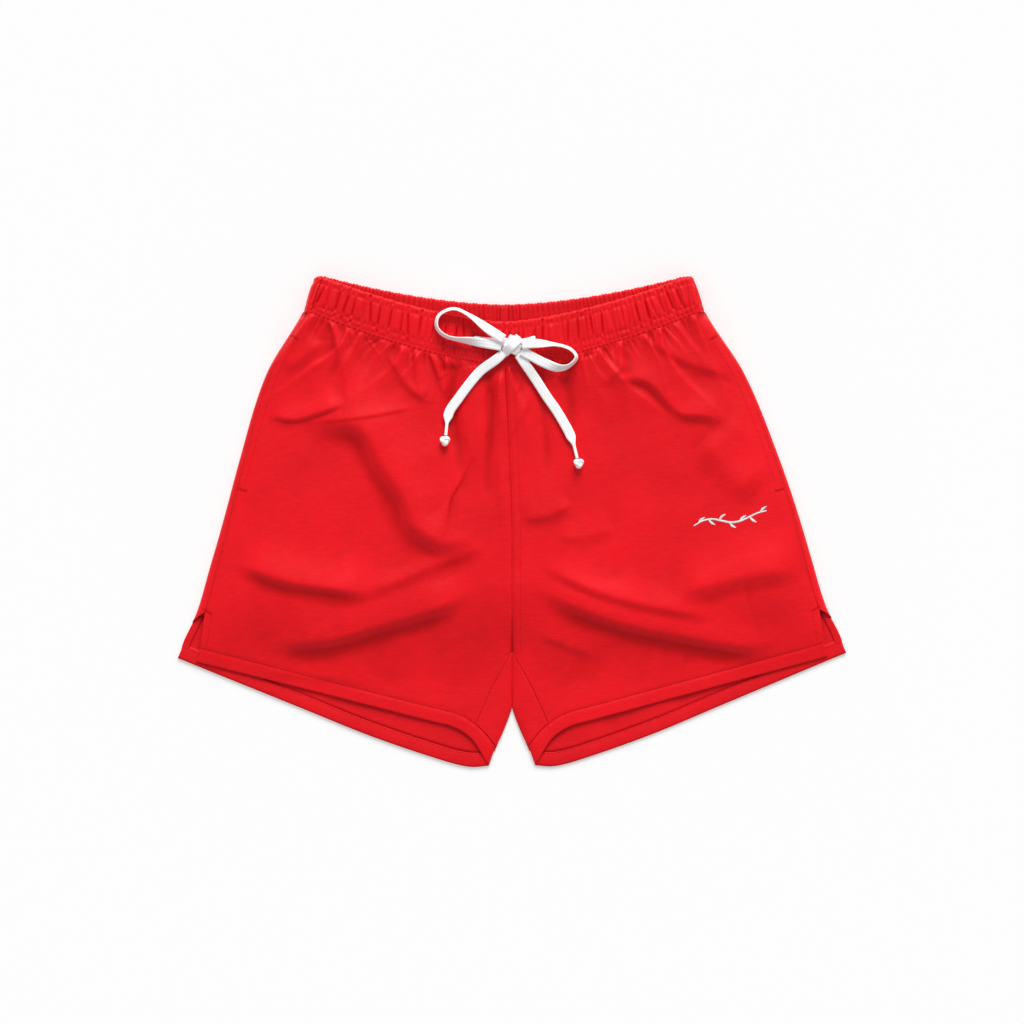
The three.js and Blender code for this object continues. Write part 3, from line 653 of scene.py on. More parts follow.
def front_z(side, out, y):
    """Height of the front cloth, folds and all. Under the tails' whole swing it stays below a low cap."""
    x, ly = lay(side, out, y)
    base = front_base(out, y)
    inner_room = ease((out - inner_fold(y) + 2) / 26)
    room = ease((half_width(y) - out) / 26) * lerp(1, inner_room, ease((CROTCH_Y + 20 - y) / 40))
    folds = sampled(FOLD_FIELD, x, ly)
    seam = -SEAM_DIP * np.exp(-((out / 1.3) ** 2)) * ease((y - CROTCH_Y) / 20)
    z = base + folds * room + seam
    z = z + gathers(side, out, y) * clear_of(CORD_FIELD, x, ly, 7, 16)
    below = below_band(out, y)
    hugging = FOLD_Z + (UNDER_BAND_Z - FOLD_Z) * rounded((WAIST_HALF_SEAM + 0.3 - out) / 8)
    z = lerp(hugging, z, ease((below + 1) / 9))
    cap = lerp(LOW_CAP, HIGH_CAP, clear_of(SWING_FIELD, x, ly, 8, 12))
    return cap - CAP_SOFTNESS * np.logaddexp(0, (cap - z) / CAP_SOFTNESS)


# ---- Meshes ----
def add_mesh(name, points, faces, materials, slots=None):
    data = bpy.data.meshes.new(name)
    data.from_pydata((np.asarray(points, float) * MM).tolist(), [], faces)
    for material in materials:
        data.materials.append(material)
    if slots is not None:
        data.polygons.foreach_set("material_index", slots)
    data.polygons.foreach_set("use_smooth", np.ones(len(faces), bool))
    data.update()
    piece = bpy.data.objects.new(name, data)
    bpy.context.collection.objects.link(piece)
    return piece


def grid_faces(rows, columns, start, turned):
    j, i = np.meshgrid(np.arange(rows - 1), np.arange(columns - 1), indexing="ij")
    a = start + j * columns + i
    b = a + columns
    quads = np.stack([a, a + 1, b + 1, b], -1).reshape(-1, 4)
    return (quads[:, ::-1] if turned else quads).tolist()


def normals_of(grid):
    du = np.gradient(grid, axis=1)
    dv = np.gradient(grid, axis=0)
    return unit(np.cross(du, dv))


def valley(z, reach, least, depth):
    """How far each place of a grid of heights lies below its surroundings, from 0 to 1."""
    smooth = z
    for axis in (0, 1):
        padded = np.pad(smooth, [(reach, reach) if k == axis else (0, 0) for k in (0, 1)], mode="edge")
        count = z.shape[axis]
        spans = [np.take(padded, range(k, k + count), axis) for k in range(2 * reach + 1)]
        smooth = sum(spans) / len(spans)
    return np.clip((smooth - z - least) / depth, 0, 1)


def mark(piece, key, values):
    """A number for each point of a mesh, which its material reads.

    One value is painted shade, which deepens the colour in creases and valleys. "along" and "across" are a place on a
    cord, in mm.
    """
    piece.data.attributes.new(key, "FLOAT", "POINT").data.foreach_set("value", np.ravel(values))


FINE_ROWS = 100  # a sheet with more rows than this is drawn finely enough to get painted shade in its valleys


def cloth(name, grid, thickness, outside, inside):
    """A sheet of cloth with an outer face, an inner face and an edge. grid is rows x columns x 3."""
    rows, columns, _ = grid.shape
    n = normals_of(grid)
    if n[..., 2].mean() < 0:
        n = -n
    top = (grid + n * thickness / 2).reshape(-1, 3)
    under = (grid - n * thickness / 2).reshape(-1, 3)
    flip = np.cross(np.gradient(grid, axis=1), np.gradient(grid, axis=0))[..., 2].mean() < 0
    faces = grid_faces(rows, columns, 0, flip) + grid_faces(rows, columns, rows * columns, not flip)
    slots = [0] * (len(faces) // 2) + [1] * (len(faces) // 2)
    rim = list(range(columns - 1))
    rim += [j * columns + columns - 1 for j in range(rows - 1)]
    rim += [(rows - 1) * columns + i for i in range(columns - 1, 0, -1)]
    rim += [j * columns for j in range(rows - 1, 0, -1)]
    for k, a in enumerate(rim):
        b = rim[(k + 1) % len(rim)]
        c, d = b + rows * columns, a + rows * columns
        faces.append([a, b, c, d] if flip else [a, d, c, b])
        slots.append(0)
    piece = add_mesh(name, np.vstack([top, under]), faces, [outside, inside], slots)
    if rows > FINE_ROWS:
        # Painted shade: the colour deepens where the cloth lies below its surroundings, in creases and valleys.
        z = grid[..., 2]
        hollow = np.maximum(valley(z, 2, 0.07, 0.3), valley(z, 9, 0.16, 1.0))
        mark(piece, "hollow", [hollow, hollow])
    return piece


def tube_mesh(name, rings, material, wrap=False, second=None, second_from=0, second_to=0):
    """A closed body through rings (count x points x 3), capped at both ends unless it wraps.

    The faces from second_from to second_to round each ring take the second material.
    """
    count, n, _ = rings.shape
    faces = []
    for j in range(count if wrap else count - 1):
        a, b = j * n, ((j + 1) % count) * n
        faces += [[a + i, b + i, b + (i + 1) % n, a + (i + 1) % n] for i in range(n)]
    if not wrap:
        faces.append(list(range(n)))
        faces.append([(count - 1) * n + i for i in range(n - 1, -1, -1)])
    if second is None:
        return add_mesh(name, rings.reshape(-1, 3), faces, [material])
    slots = [int(second_from <= k % n < second_to) for k in range(len(faces))]
    return add_mesh(name, rings.reshape(-1, 3), faces, [material, second], slots)


def patch(top, bottom, inner, outer, across, along, denser=1.0):
    """Pattern points (out, y) between four edges given as functions of 0..1."""
    u = np.linspace(0, 1, across)[None, :, None]
    v = (np.linspace(0, 1, along) ** denser)[:, None, None]
    t, b = top(u[0, :, 0]), bottom(u[0, :, 0])
    i, o = inner(v[:, 0, 0]), outer(v[:, 0, 0])
    mixed = (1 - v) * t[None] + v * b[None] + (1 - u) * i[:, None] + u * o[:, None]
    mixed -= (1 - u) * (1 - v) * t[0] + u * (1 - v) * t[-1] + (1 - u) * v * b[0] + u * v * b[-1]
    return mixed[..., 0], mixed[..., 1]


def shares(rows, columns):
    """0..1 down the rows and 0..1 across the columns of a sheet."""
    return np.linspace(0, 1, rows)[:, None], np.linspace(0, 1, columns)[None, :]


def in_place(side, out, y, z):
    x, ly = lay(side, out, y)
    return np.stack([x, ly, z], -1)


# ---- Materials ----
def node_material(name, roughness, sheen, specular, sheen_tint=(1, 1, 1)):
    material = bpy.data.materials.new(name)
    material.use_nodes = True
    shader = material.node_tree.nodes["Principled BSDF"]
    shader.inputs["Roughness"].default_value = roughness
    shader.inputs["Sheen Weight"].default_value = sheen
    shader.inputs["Sheen Roughness"].default_value = 0.45
    shader.inputs["Sheen Tint"].default_value = (*sheen_tint, 1)
    shader.inputs["Specular IOR Level"].default_value = specular
    return material, material.node_tree, shader


def link(tree, a, b):
    tree.links.new(a, b)


def weave_height(tree, place, threads):
    """Two crossing sets of threads, `threads` to the metre."""
    nodes = tree.nodes
    waves = []
    for direction in ("X", "Y"):
        wave = nodes.new("ShaderNodeTexWave")
        wave.wave_type = "BANDS"
        wave.bands_direction = direction
        wave.inputs["Scale"].default_value = threads * math.pi / 10
        wave.inputs["Distortion"].default_value = 0.6
        wave.inputs["Detail"].default_value = 1
        link(tree, place, wave.inputs["Vector"])
        waves.append(wave)
    both = nodes.new("ShaderNodeMath")
    both.operation = "MAXIMUM"
    link(tree, waves[0].outputs["Fac"], both.inputs[0])
    link(tree, waves[1].outputs["Fac"], both.inputs[1])
    return both.outputs[0]


def add_bump(tree, shader, height, strength, distance):
    bump = tree.nodes.new("ShaderNodeBump")
    bump.inputs["Strength"].default_value = strength
    bump.inputs["Distance"].default_value = distance
    link(tree, height, bump.inputs["Height"])
    link(tree, bump.outputs["Normal"], shader.inputs["Normal"])


def noise(tree, vector, scale, detail, roughness=0.55):
    texture = tree.nodes.new("ShaderNodeTexNoise")
    texture.inputs["Scale"].default_value = scale
    texture.inputs["Detail"].default_value = detail
    texture.inputs["Roughness"].default_value = roughness
    link(tree, vector, texture.inputs["Vector"])
    return texture.outputs["Fac"]


def mix_number(tree, a, b, share):
    node = tree.nodes.new("ShaderNodeMix")
    node.data_type = "FLOAT"
    node.inputs["Factor"].default_value = share
    link(tree, a, node.inputs["A"])
    link(tree, b, node.inputs["B"])
    return node.outputs["Result"]


def ramp(tree, value, stops):
    node = tree.nodes.new("ShaderNodeValToRGB")
    elements = node.color_ramp.elements
    while len(elements) < len(stops):
        elements.new(0.5)
    for element, (position, colour) in zip(elements, stops):
        element.position = position
        element.color = (*colour, 1)
    link(tree, value, node.inputs["Fac"])
    return node.outputs["Color"]


def shaded(colour, factor):
    return tuple(c * factor for c in colour)


CLOTH_SPECULAR = 0.17
THREAD_SPECULAR = 0.2
CORD_SPECULAR = 0.25
SHEEN_TINT = (1, 0.12, 0.12)
PAINTED_SHADE_SHARES = (0.72, 0.05, 0.3)  # how much of the cloth's red, green and blue the painted shade in its creases keeps


def cloth_material(name, colour, roughness, sheen, threads, bump=0.3):
    material, tree, shader = node_material(name, roughness, sheen, CLOTH_SPECULAR, SHEEN_TINT)
    place = tree.nodes.new("ShaderNodeTexCoord").outputs["Object"]
    weave = weave_height(tree, place, threads)
    grain = noise(tree, place, 900, 2)
    slub_place = tree.nodes.new("ShaderNodeMapping")
    slub_place.inputs["Scale"].default_value = (0.16, 1, 1)
    link(tree, place, slub_place.inputs["Vector"])
    slub = noise(tree, slub_place.outputs["Vector"], 620, 4, 0.7)
    tone = noise(tree, place, 14, 3)
    fine = mix_number(tree, grain, slub, 0.6)
    shade = mix_number(tree, fine, tone, 0.3)
    stops = [(0.3, shaded(colour, 0.76)), (0.5, colour), (0.7, shaded(colour, 1.18))]
    # Painted shade: the base colour is mixed towards a deeper red in creases and valleys, by the mesh's shade value.
    deep = tree.nodes.new("ShaderNodeMix")
    deep.data_type = "RGBA"
    hollow = tree.nodes.new("ShaderNodeAttribute")
    hollow.attribute_name = "hollow"
    link(tree, hollow.outputs["Fac"], deep.inputs["Factor"])
    link(tree, ramp(tree, shade, stops), deep.inputs["A"])
    deep.inputs["B"].default_value = (*(c * share for c, share in zip(colour, PAINTED_SHADE_SHARES)), 1)
    link(tree, deep.outputs["Result"], shader.inputs["Base Color"])
    rough = tree.nodes.new("ShaderNodeMapRange")
    rough.inputs["To Min"].default_value = roughness - 0.06
    rough.inputs["To Max"].default_value = roughness + 0.08
    link(tree, shade, rough.inputs["Value"])
    link(tree, rough.outputs["Result"], shader.inputs["Roughness"])
    add_bump(tree, shader, mix_number(tree, weave, fine, 0.6), bump, 0.0005)
    return material


def thread_material(name, colour, roughness, sheen):
    material, tree, shader = node_material(name, roughness, sheen, THREAD_SPECULAR)
    coords = tree.nodes.new("ShaderNodeTexCoord")
    fibre = noise(tree, coords.outputs["Object"], 2500, 2)
    stops = [(0.3, shaded(colour, 0.82)), (0.7, colour)]
    link(tree, ramp(tree, fibre, stops), shader.inputs["Base Color"])
    add_bump(tree, shader, fibre, 0.3, 0.0003)
    return material


def knit_material(name, colour):
    """Flat knitted cord: rows of small chevrons that follow the cord's along and across values."""
    material, tree, shader = node_material(name, 0.8, 0.35, CORD_SPECULAR)
    nodes = tree.nodes
    along = nodes.new("ShaderNodeAttribute")
    along.attribute_name = "along"
    across = nodes.new("ShaderNodeAttribute")
    across.attribute_name = "across"

    def math_node(operation, a, b):
        node = nodes.new("ShaderNodeMath")
        node.operation = operation
        for socket, value in zip(node.inputs, (a, b)):
            if isinstance(value, (int, float)):
                socket.default_value = value
            else:
                link(tree, value, socket)
        return node.outputs[0]

    rib = math_node("PINGPONG", across.outputs["Fac"], 0.7)
    chevron = math_node("ADD", along.outputs["Fac"], math_node("MULTIPLY", rib, 1.4))
    loops = math_node("SINE", math_node("MULTIPLY", chevron, 2 * math.pi / 1.3), 0)
    height = math_node("ADD", math_node("MULTIPLY", loops, 0.5), math_node("MULTIPLY", rib, 1.6))
    coords = nodes.new("ShaderNodeTexCoord")
    fuzz = noise(tree, coords.outputs["Object"], 1400, 3)
    stops = [(0.2, shaded(colour, 0.88)), (0.6, colour)]
    link(tree, ramp(tree, fuzz, stops), shader.inputs["Base Color"])
    add_bump(tree, shader, mix_number(tree, height, fuzz, 0.3), 0.35, 0.0005)
    return material


RED = (0.755, 0.0030, 0.0095)
SATIN_THREADS = 1700  # to the metre
SHELL = cloth_material("shell_satin", RED, 0.44, 0.25, SATIN_THREADS)
# The inside faces: the satin's duller back, with its red darkened as painted shade for the inside of the shorts and
# the band's lining.
INNER_SHADED = cloth_material("shell_inside", shaded(RED, 0.92), 0.55, 0.1, SATIN_THREADS)
POCKETING = cloth_material("pocketing", shaded(RED, 0.8), 0.8, 0.1, 1100, 0.25)
RED_THREAD = thread_material("red_thread", shaded(RED, 0.9), 0.5, 0.0)
WHITE_THREAD = thread_material("white_thread", (0.93, 0.93, 0.92), 0.4, 0.3)
KNIT = knit_material("cord_knit", (0.97, 0.97, 0.98))
ELASTIC = knit_material("elastic_web", (0.80, 0.79, 0.76))


# ---- Riding on the frame ----
# Each leg bends away from the body of the shorts just below its joint's axis.
BEND_LENGTH = 0.05
LEG_AXES = {j["child"]: j for j in frame["joints"] if j["child"].startswith("leg_")}


def bend_with_leg(piece, name):
    joint = LEG_AXES[f"leg_{name}"]
    start = Vector(joint["pos_m"])
    axis = Vector(joint["axis"])
    down = Vector((axis.y, -axis.x, 0)).normalized()
    if down.y > 0:
        down = -down
    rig.blend(piece, "shorts", f"leg_{name}", start, start + down * BEND_LENGTH)


# ---- Stitches ----
def capsule():
    """A small stitch along X, 1 long and 1 thick."""
    rings = []
    for x, r in ((-0.5, 0.35), (-0.3, 0.9), (0.0, 1.0), (0.3, 0.9), (0.5, 0.35)):
        for k in range(6):
            a = 2 * math.pi * k / 6
            rings.append((x, 0.5 * r * math.cos(a), 0.5 * r * math.sin(a)))
    faces = []
    for j in range(4):
        for k in range(6):
            a, b = j * 6, (j + 1) * 6
            faces.append((a + k, b + k, b + (k + 1) % 6, a + (k + 1) % 6))
    faces.append(tuple(range(5, -1, -1)))
    faces.append(tuple(24 + k for k in range(6)))
    return np.array(rings), faces


CAPSULE, CAPSULE_FACES = capsule()


def add_stitch(points, faces, a, b, thick, arch=0.0):
    """One stitch from a to b, added to a mesh's points and faces. arch is how far its middle stands up."""
    size = np.linalg.norm(b - a)
    forward = (b - a) / size
    sideways = unit(np.cross([0, 0, 1], forward))
    body = CAPSULE * (size, thick, thick)
    body[:, 2] += arch * (1 - (2 * body[:, 0] / size) ** 2)
    start = len(points)
    points += ((a + b) / 2 + body @ np.stack([forward, sideways, np.cross(forward, sideways)])).tolist()
    faces += [[start + k for k in face] for face in CAPSULE_FACES]


def stitches(name, rows, material, length=2.5, gap=0.7, thick=0.42):
    """Rows of stitches in one mesh. Each row is a line of points in millimetres, lying on the cloth."""
    points, faces = [], []
    for row in rows:
        row = np.asarray(row, float)
        run = run_of(row)
        for s in np.arange(gap, run[-1] - length, length + gap):
            a, b = (np.array([np.interp(at, run, row[:, k]) for k in range(3)]) for at in (s, s + length))
            add_stitch(points, faces, a, b, thick)
    return add_mesh(name, points, faces, [material])


# ---- Panels ----
ROWS = 250
COLUMNS = 230


def front_panel_points(side):
    """The front cloth's grid of pattern points, from the waistband's seam to the hem's stitches."""
    half = WAIST_HALF_SEAM - 4
    meet = lerp(hem_stitch(HEM_INSEAM_T), hem_edge(HEM_INSEAM_T), HEM_LAP)
    low_y = lerp(HEM_STITCH[0][1], HEM_EDGE[0][1], HEM_LAP)
    crotch_share = 0.81

    def top(u):
        out = lerp(0, half, u)
        return np.stack([out, front_seam_y(np.minimum(1, out / BAND_HALF_SEAM)) + 1.6], -1)

    def bottom(u):
        t = lerp(HEM_INSEAM_T, 0, u)
        return lerp(hem_stitch(t), hem_edge(t), HEM_LAP)

    def inner(v):
        above = np.clip(v / crotch_share, 0, 1)
        below = np.clip((v - crotch_share) / (1 - crotch_share), 0, 1)
        y = np.where(v < crotch_share, lerp(150.6, CROTCH_Y, above), lerp(CROTCH_Y, meet[1], below))
        leg_out = inseam_out(y) - 0.6 + (meet[0] + 0.6 - inseam_out(meet[1])) * below
        return np.stack([np.where(v < crotch_share, 0, leg_out), y], -1)

    def outer(v):
        y = lerp(front_seam_y(1.0) + 1.6, low_y, v)
        out = half_width(y) - side_inset(y)
        slit = VENT_TOP[0] + (VENT_TOP[1] - y) * (HEM_STITCH[0][0] - VENT_TOP[0]) / (VENT_TOP[1] - low_y)
        out = np.where(y < VENT_TOP[1], slit, out)
        return np.stack([lerp(half, out, ease(v * 60)), y], -1)

    return patch(top, bottom, inner, outer, COLUMNS, ROWS, 1.25)


def make_front_panel(name, side):
    out, y = front_panel_points(side)
    z = front_z(side, out, y)
    z[-3:] -= np.array([0.1, 0.35, 0.6])[:, None]
    piece = cloth(f"cloth_front_{name}", in_place(side, out, y, z), CLOTH_THICK, SHELL, INNER_SHADED)
    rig.replaces(piece, f"front_panel_{name}")
    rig.slot(piece, "shell_cloth")
    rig.sheet(piece, flat=(0.305, 0.395), held="laid", rests_on=[f"cloth_back_{name}"], area=0.091)
    bend_with_leg(piece, name)


def make_inseam(name, side):
    """The back cloth turned over the inside of the leg, up to the inseam on the front."""
    meet = hem_stitch(HEM_INSEAM_T)
    foot = hem_stitch(1.0)
    v, u = shares(60, 22)
    fold_y = lerp(CROTCH_Y + 3, foot[1], v)
    fold_out = inner_fold(fold_y)
    seam_y = lerp(CROTCH_Y + 3, meet[1], v)
    seam_out = np.maximum(inseam_out(seam_y) + 0.5, inner_fold(seam_y) + 0.5)
    out = lerp(fold_out, seam_out, u**1.4)
    y = lerp(fold_y, seam_y, u**1.4)
    bottom = hem_stitch(lerp(1.0, HEM_INSEAM_T, u**1.4))
    out = lerp(out, np.broadcast_to(bottom[..., 0], out.shape), v**14)
    y = lerp(y, np.broadcast_to(bottom[..., 1], y.shape), v**14)
    z = front_z(side, out, y) + 0.3 * (1 - u) - 0.55 * ease((u - 0.86) / 0.12)
    piece = cloth(f"cloth_inseam_{name}", in_place(side, out, y, z), CLOTH_THICK, SHELL, INNER_SHADED)
    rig.replaces(piece, f"inseam_{name}")
    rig.slot(piece, "shell_cloth")
    bend_with_leg(piece, name)


def make_front_hem(name, side):
    """The turned-up hem, from the vent round to the inside of the leg."""
    t = np.linspace(0, 1, 230)[:, None]
    edge, stitch = hem_edge(t[:, 0]), hem_stitch(t[:, 0])
    rows = []
    tight = np.exp(-(((t[:, 0] - 0.9) / 0.07) ** 2))
    crinkle = np.sin(t[:, 0] * 230 + 5 * np.sin(t[:, 0] * 61))
    for s in np.linspace(-0.04, 1, 12):
        out, y = lerp(stitch, edge, s).T
        puff = -0.35 + 0.62 * float(ease((s + 0.04) / 0.36)) + 0.1 * math.sin(math.pi * max(0, s))
        pucker = crinkle * (0.04 + 0.3 * tight) * float(ease(s / 0.3)) * math.exp(-1.2 * s)
        rows.append(np.stack([out, y, front_z(side, out, y) + puff + pucker], -1))
    drop = unit(edge - stitch)
    for k in range(1, 6):
        turn = math.pi * k / 6
        out, y = (edge + drop * 0.8 * math.sin(turn)).T
        z = front_z(side, *edge.T) + 0.15 - 0.85 * (1 - math.cos(turn))
        rows.append(np.stack([out, y, np.maximum(z, 0.35)], -1))
    for s in np.linspace(1, 0.02, 6):
        out, y = lerp(stitch, edge, s).T
        rows.append(np.stack([out, y, np.maximum(front_z(side, out, y) - 1.5, 0.35)], -1))
    grid = np.stack(rows, 1)
    x, y = lay(side, grid[..., 0], grid[..., 1])
    grid = np.stack([x, y, grid[..., 2]], -1)
    piece = tube_mesh(f"cloth_front_hem_{name}", grid, SHELL)
    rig.replaces(piece, f"front_hem_{name}")
    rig.slot(piece, "shell_cloth")
    bend_with_leg(piece, name)


def back_z(x, y):
    return 0.9 + 0.35 * np.clip(ripple(x, y, 9, 80, 26), -1.2, 2.5)


def make_back_panel(name, side):
    half = WAIST_HALF_SEAM - 1
    foot_out = inner_fold(-221.0) + 0.4

    def hem_line(out):
        return back_hem_edge(out) + HEM_DEPTH

    def top(u):
        out = lerp(0, half, u)
        return np.stack([out, back_seam_y(np.minimum(1, out / BAND_HALF_SEAM)) + 1], -1)

    end_out = 313.5

    def bottom(u):
        out = lerp(foot_out, end_out, u)
        return np.stack([out, hem_line(out)], -1)

    def inner(v):
        y = lerp(169.0, hem_line(foot_out), v)
        return np.stack([np.where(y > CROTCH_Y, 0, inner_fold(y) + 0.4), y], -1)

    def outer(v):
        y = lerp(top(np.array([1.0]))[0, 1], hem_line(end_out), v)
        return np.stack([lerp(half, half_width(y) - 0.3, ease(v * 60)), y], -1)

    out, y = patch(top, bottom, inner, outer, 90, 120)
    x, ly = lay(side, out, y)
    z = back_z(x, ly)
    piece = cloth(f"cloth_back_{name}", in_place(side, out, y, z), CLOTH_THICK, INNER_SHADED, SHELL)
    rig.replaces(piece, f"back_panel_{name}")
    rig.slot(piece, "shell_cloth")
    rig.sheet(piece, flat=(0.325, 0.425), held="laid", area=0.1)
    bend_with_leg(piece, name)


def make_side_roll(name, side, part, top_y, bottom_y):
    """The back cloth turned over the side, up to the side seam on the front."""
    y = np.linspace(top_y, bottom_y, 160 if part == "lower" else 40)[:, None]
    a = np.linspace(0, 1, 14)[None, :]
    inset = side_inset(y) * a**1.8
    y = y + 0 * a
    z = front_z(side, half_width(y) - inset, y) + 0.35 * np.sin(math.pi * a**0.8) - 0.5 * (a > 0.97)
    z = np.maximum(z, 0.7)
    if part == "lower":
        y = y - 9 * (1 - a) * ease((y - y[0]) / (y[-1] - y[0]) * 4 - 3)
    out = half_width(y) - inset
    piece = cloth(f"cloth_side_{part}_{name}", in_place(side, out, y, z), CLOTH_THICK, SHELL, INNER_SHADED)
    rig.replaces(piece, f"side_seam_{part}_{name}")
    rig.slot(piece, "shell_cloth")
    bend_with_leg(piece, name)


def make_back_hem(name, side):
    out_line = lerp(LEG_CORNER[0] + 0.5, 319, np.linspace(0, 1, 200))
    edge = np.stack([out_line, back_hem_edge(out_line)], -1)
    up = np.stack([-0.46 * ease((out_line - 200) / 119), np.ones(len(out_line))], -1) * HEM_DEPTH
    rows = []
    wave = 0.14 * np.sin(out_line * 0.75 + np.sin(out_line * 0.11) * 2)
    for s in np.linspace(0, 1, 8):
        out, y = (edge + up * s).T
        rows.append(np.stack([out, y, 2.0 + 0.35 * math.sin(math.pi * s) - 0.4 * s + wave * s], -1))
    for s in np.linspace(1, 0, 5):
        out, y = (edge + up * s).T
        rows.append(np.stack([out, y, 0.32 + 0 * out], -1))
    rows.append(np.stack([out_line, edge[:, 1] - 0.6, 1.1 + 0 * out_line], -1))
    grid = np.stack(rows, 1)
    x, y = lay(side, grid[..., 0], grid[..., 1])
    piece = tube_mesh(f"cloth_back_hem_{name}", np.stack([x, y, grid[..., 2]], -1), INNER_SHADED)
    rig.replaces(piece, f"back_hem_{name}")
    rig.slot(piece, "shell_cloth")
    bend_with_leg(piece, name)


# ---- Waistband ----
def waist_rows():
    """The places round the waist: u across, the angle that faces out, and the way round in millimetres."""
    step = 0.6
    straight_half = 184
    turn_steps = 24
    front = np.arange(-1, 1, step / straight_half)
    turn = np.linspace(math.pi / 2, -math.pi / 2, turn_steps + 2)[1:-1]
    u = np.concatenate([front, np.ones(turn_steps), -front, -np.ones(turn_steps)])
    angle = np.concatenate([0 * front + math.pi / 2, turn, 0 * front - math.pi / 2, -math.pi - turn])
    return u, angle, np.arange(len(u)) * step


def band_point(u, angle, offset, height):
    back = (1 - np.sin(angle)) / 2
    rise = height / BAND_HEIGHT
    half = lerp(WAIST_HALF_SEAM, WAIST_HALF_TOP, rise) - BAND_RADIUS - BAND_DEPTH / 2
    seam = lerp(front_seam_y(u), back_seam_y(u), back)
    top = lerp(front_top_y(u), back_top_y(u), back)
    y = lerp(seam, top, rise)
    reach = BAND_RADIUS + offset
    x = -skew(y) + half * u + np.cos(angle) * reach
    return np.stack([x, y, BAND_MID_Z + np.sin(angle) * reach], -1)


STITCH_HEIGHTS = (1.4, 8.2, 32)
BAND_CLOTH_HALF = 0.25  # half the casing's cloth
FACE_ROWS = 30
LIP_ROWS = 5
LINING_ROWS = 14


def pleats(seed, length):
    """The casing's pleats: place, slant, width, height of the puff, depth of its crease, and its middle."""
    r = np.random.default_rng(seed)
    made = []
    where = 0.0
    while where < length:
        slant, width, puff = r.normal(0, 0.07), r.uniform(1.6, 4.2), r.uniform(0.2, 1.1)
        made.append((where, slant, width, puff, r.uniform(0.8, 2.8), r.uniform(12, 30)))
        where += r.uniform(4.0, 12)
    return made


def puckers(way, height, seed, inside):
    """How far the casing stands out: fine shirring everywhere, larger pleats between the stitch rows."""
    drift = 1.6 * np.sin(way * 0.09) + 1.1 * np.sin(way * 0.041 + 1)
    pinned = min(abs(height - h) for h in (0, *STITCH_HEIGHTS))
    free = float(ease(pinned / 4))
    ribs = np.sin(2 * math.pi * (way + drift) / 4.4)
    total = (np.abs(ribs) ** 0.7 * np.sign(ribs)) * lerp(0.42, 0.30 if inside else 0.14, free)
    share = 0.3 if inside else 1
    for where, slant, width, puff, crease, middle in pleats(seed, way[-1]):
        off = way - where - slant * (height - 20)
        near = np.abs(off) < 16
        reach = math.exp(-(((height - middle) / 20) ** 2)) * free * share
        total[near] += reach * puff * np.exp(-((off[near] / width) ** 2))
        total[near] -= reach * crease * np.exp(-np.abs((off[near] - 1.4 * width) / 0.9) ** 1.5)
    for h in STITCH_HEIGHTS:
        total = total - 0.3 * math.exp(-(((height - h) / 0.9) ** 2))
    return np.maximum(total, -1.5)


def make_waistband():
    """The casing: its face, a rounded lip along the top, and its lining."""
    u, angle, way = waist_rows()
    half = BAND_DEPTH / 2 - BAND_CLOTH_HALF
    lip_y = BAND_HEIGHT - 1.2
    rings, painted_shades = [], []
    for height in np.linspace(-0.6, lip_y, FACE_ROWS):
        bulge = 0.5 * math.sin(math.pi * height / BAND_HEIGHT)
        relief = puckers(way, height, 3, False)
        rings.append(band_point(u, angle, half - 0.35 + bulge + relief, height))
        # Painted shade in the pits of the face's creases.
        painted_shades.append(np.clip((-relief - 0.35) / 0.9, 0, 1))
    scallop = 0.35 * np.sin(2 * math.pi * way / 3.3) + 0.25 * np.sin(2 * math.pi * way / 11)
    for k in range(1, LIP_ROWS + 1):
        turn = math.pi * k / (LIP_ROWS + 1)
        offset = (half - 0.35) * math.cos(turn)
        rings.append(band_point(u, angle, offset, lip_y + 1.4 * math.sin(turn) + scallop * math.sin(turn)))
        painted_shades.append(0 * way)
    for height in np.linspace(lip_y, 0, LINING_ROWS):
        relief = puckers(way, height, 4, True)
        rings.append(band_point(u, angle, -half + 0.35 - relief, height))
        # Painted shade in the lining's creases.
        painted_shades.append(np.clip((-relief - 0.1) / 0.5, 0, 1))
    grid = np.stack(rings, 1)
    grid[..., 2] = np.maximum(grid[..., 2], 0.45)
    around = (np.roll(grid, -1, 0) - np.roll(grid, 1, 0)) / 2
    n = unit(np.cross(around, np.gradient(grid, axis=1)))
    n *= np.sign(n[len(n) // 5, 4, 2])
    section = np.concatenate([grid + n * BAND_CLOTH_HALF, (grid - n * BAND_CLOTH_HALF)[:, ::-1]], 1)
    lining = FACE_ROWS + LIP_ROWS
    piece = tube_mesh("cloth_waistband", section, SHELL, True, INNER_SHADED, lining, lining + LINING_ROWS)
    # The painted shade for each point, on both faces of the cloth.
    hollow = np.stack(painted_shades, 1)
    mark(piece, "hollow", np.concatenate([hollow, hollow[:, ::-1]], 1))
    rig.replaces(piece, "waistband_casing")
    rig.slot(piece, "shell_cloth")
    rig.sheet(piece, flat=(1.05, 0.078), held="gathered")
    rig.ride(piece, "shorts")


def band_stitches():
    u, angle, way = waist_rows()
    rows = []
    for height in STITCH_HEIGHTS:
        line = band_point(u, angle, BAND_DEPTH / 2 - 0.3 + puckers(way, height, 3, False), height)
        rows.append(np.vstack([line, line[:1]]))
    piece = stitches("stitches_waistband", rows, RED_THREAD, 2.3, 0.7, 0.5)
    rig.slot(piece, "red_thread")
    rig.ride(piece, "shorts")


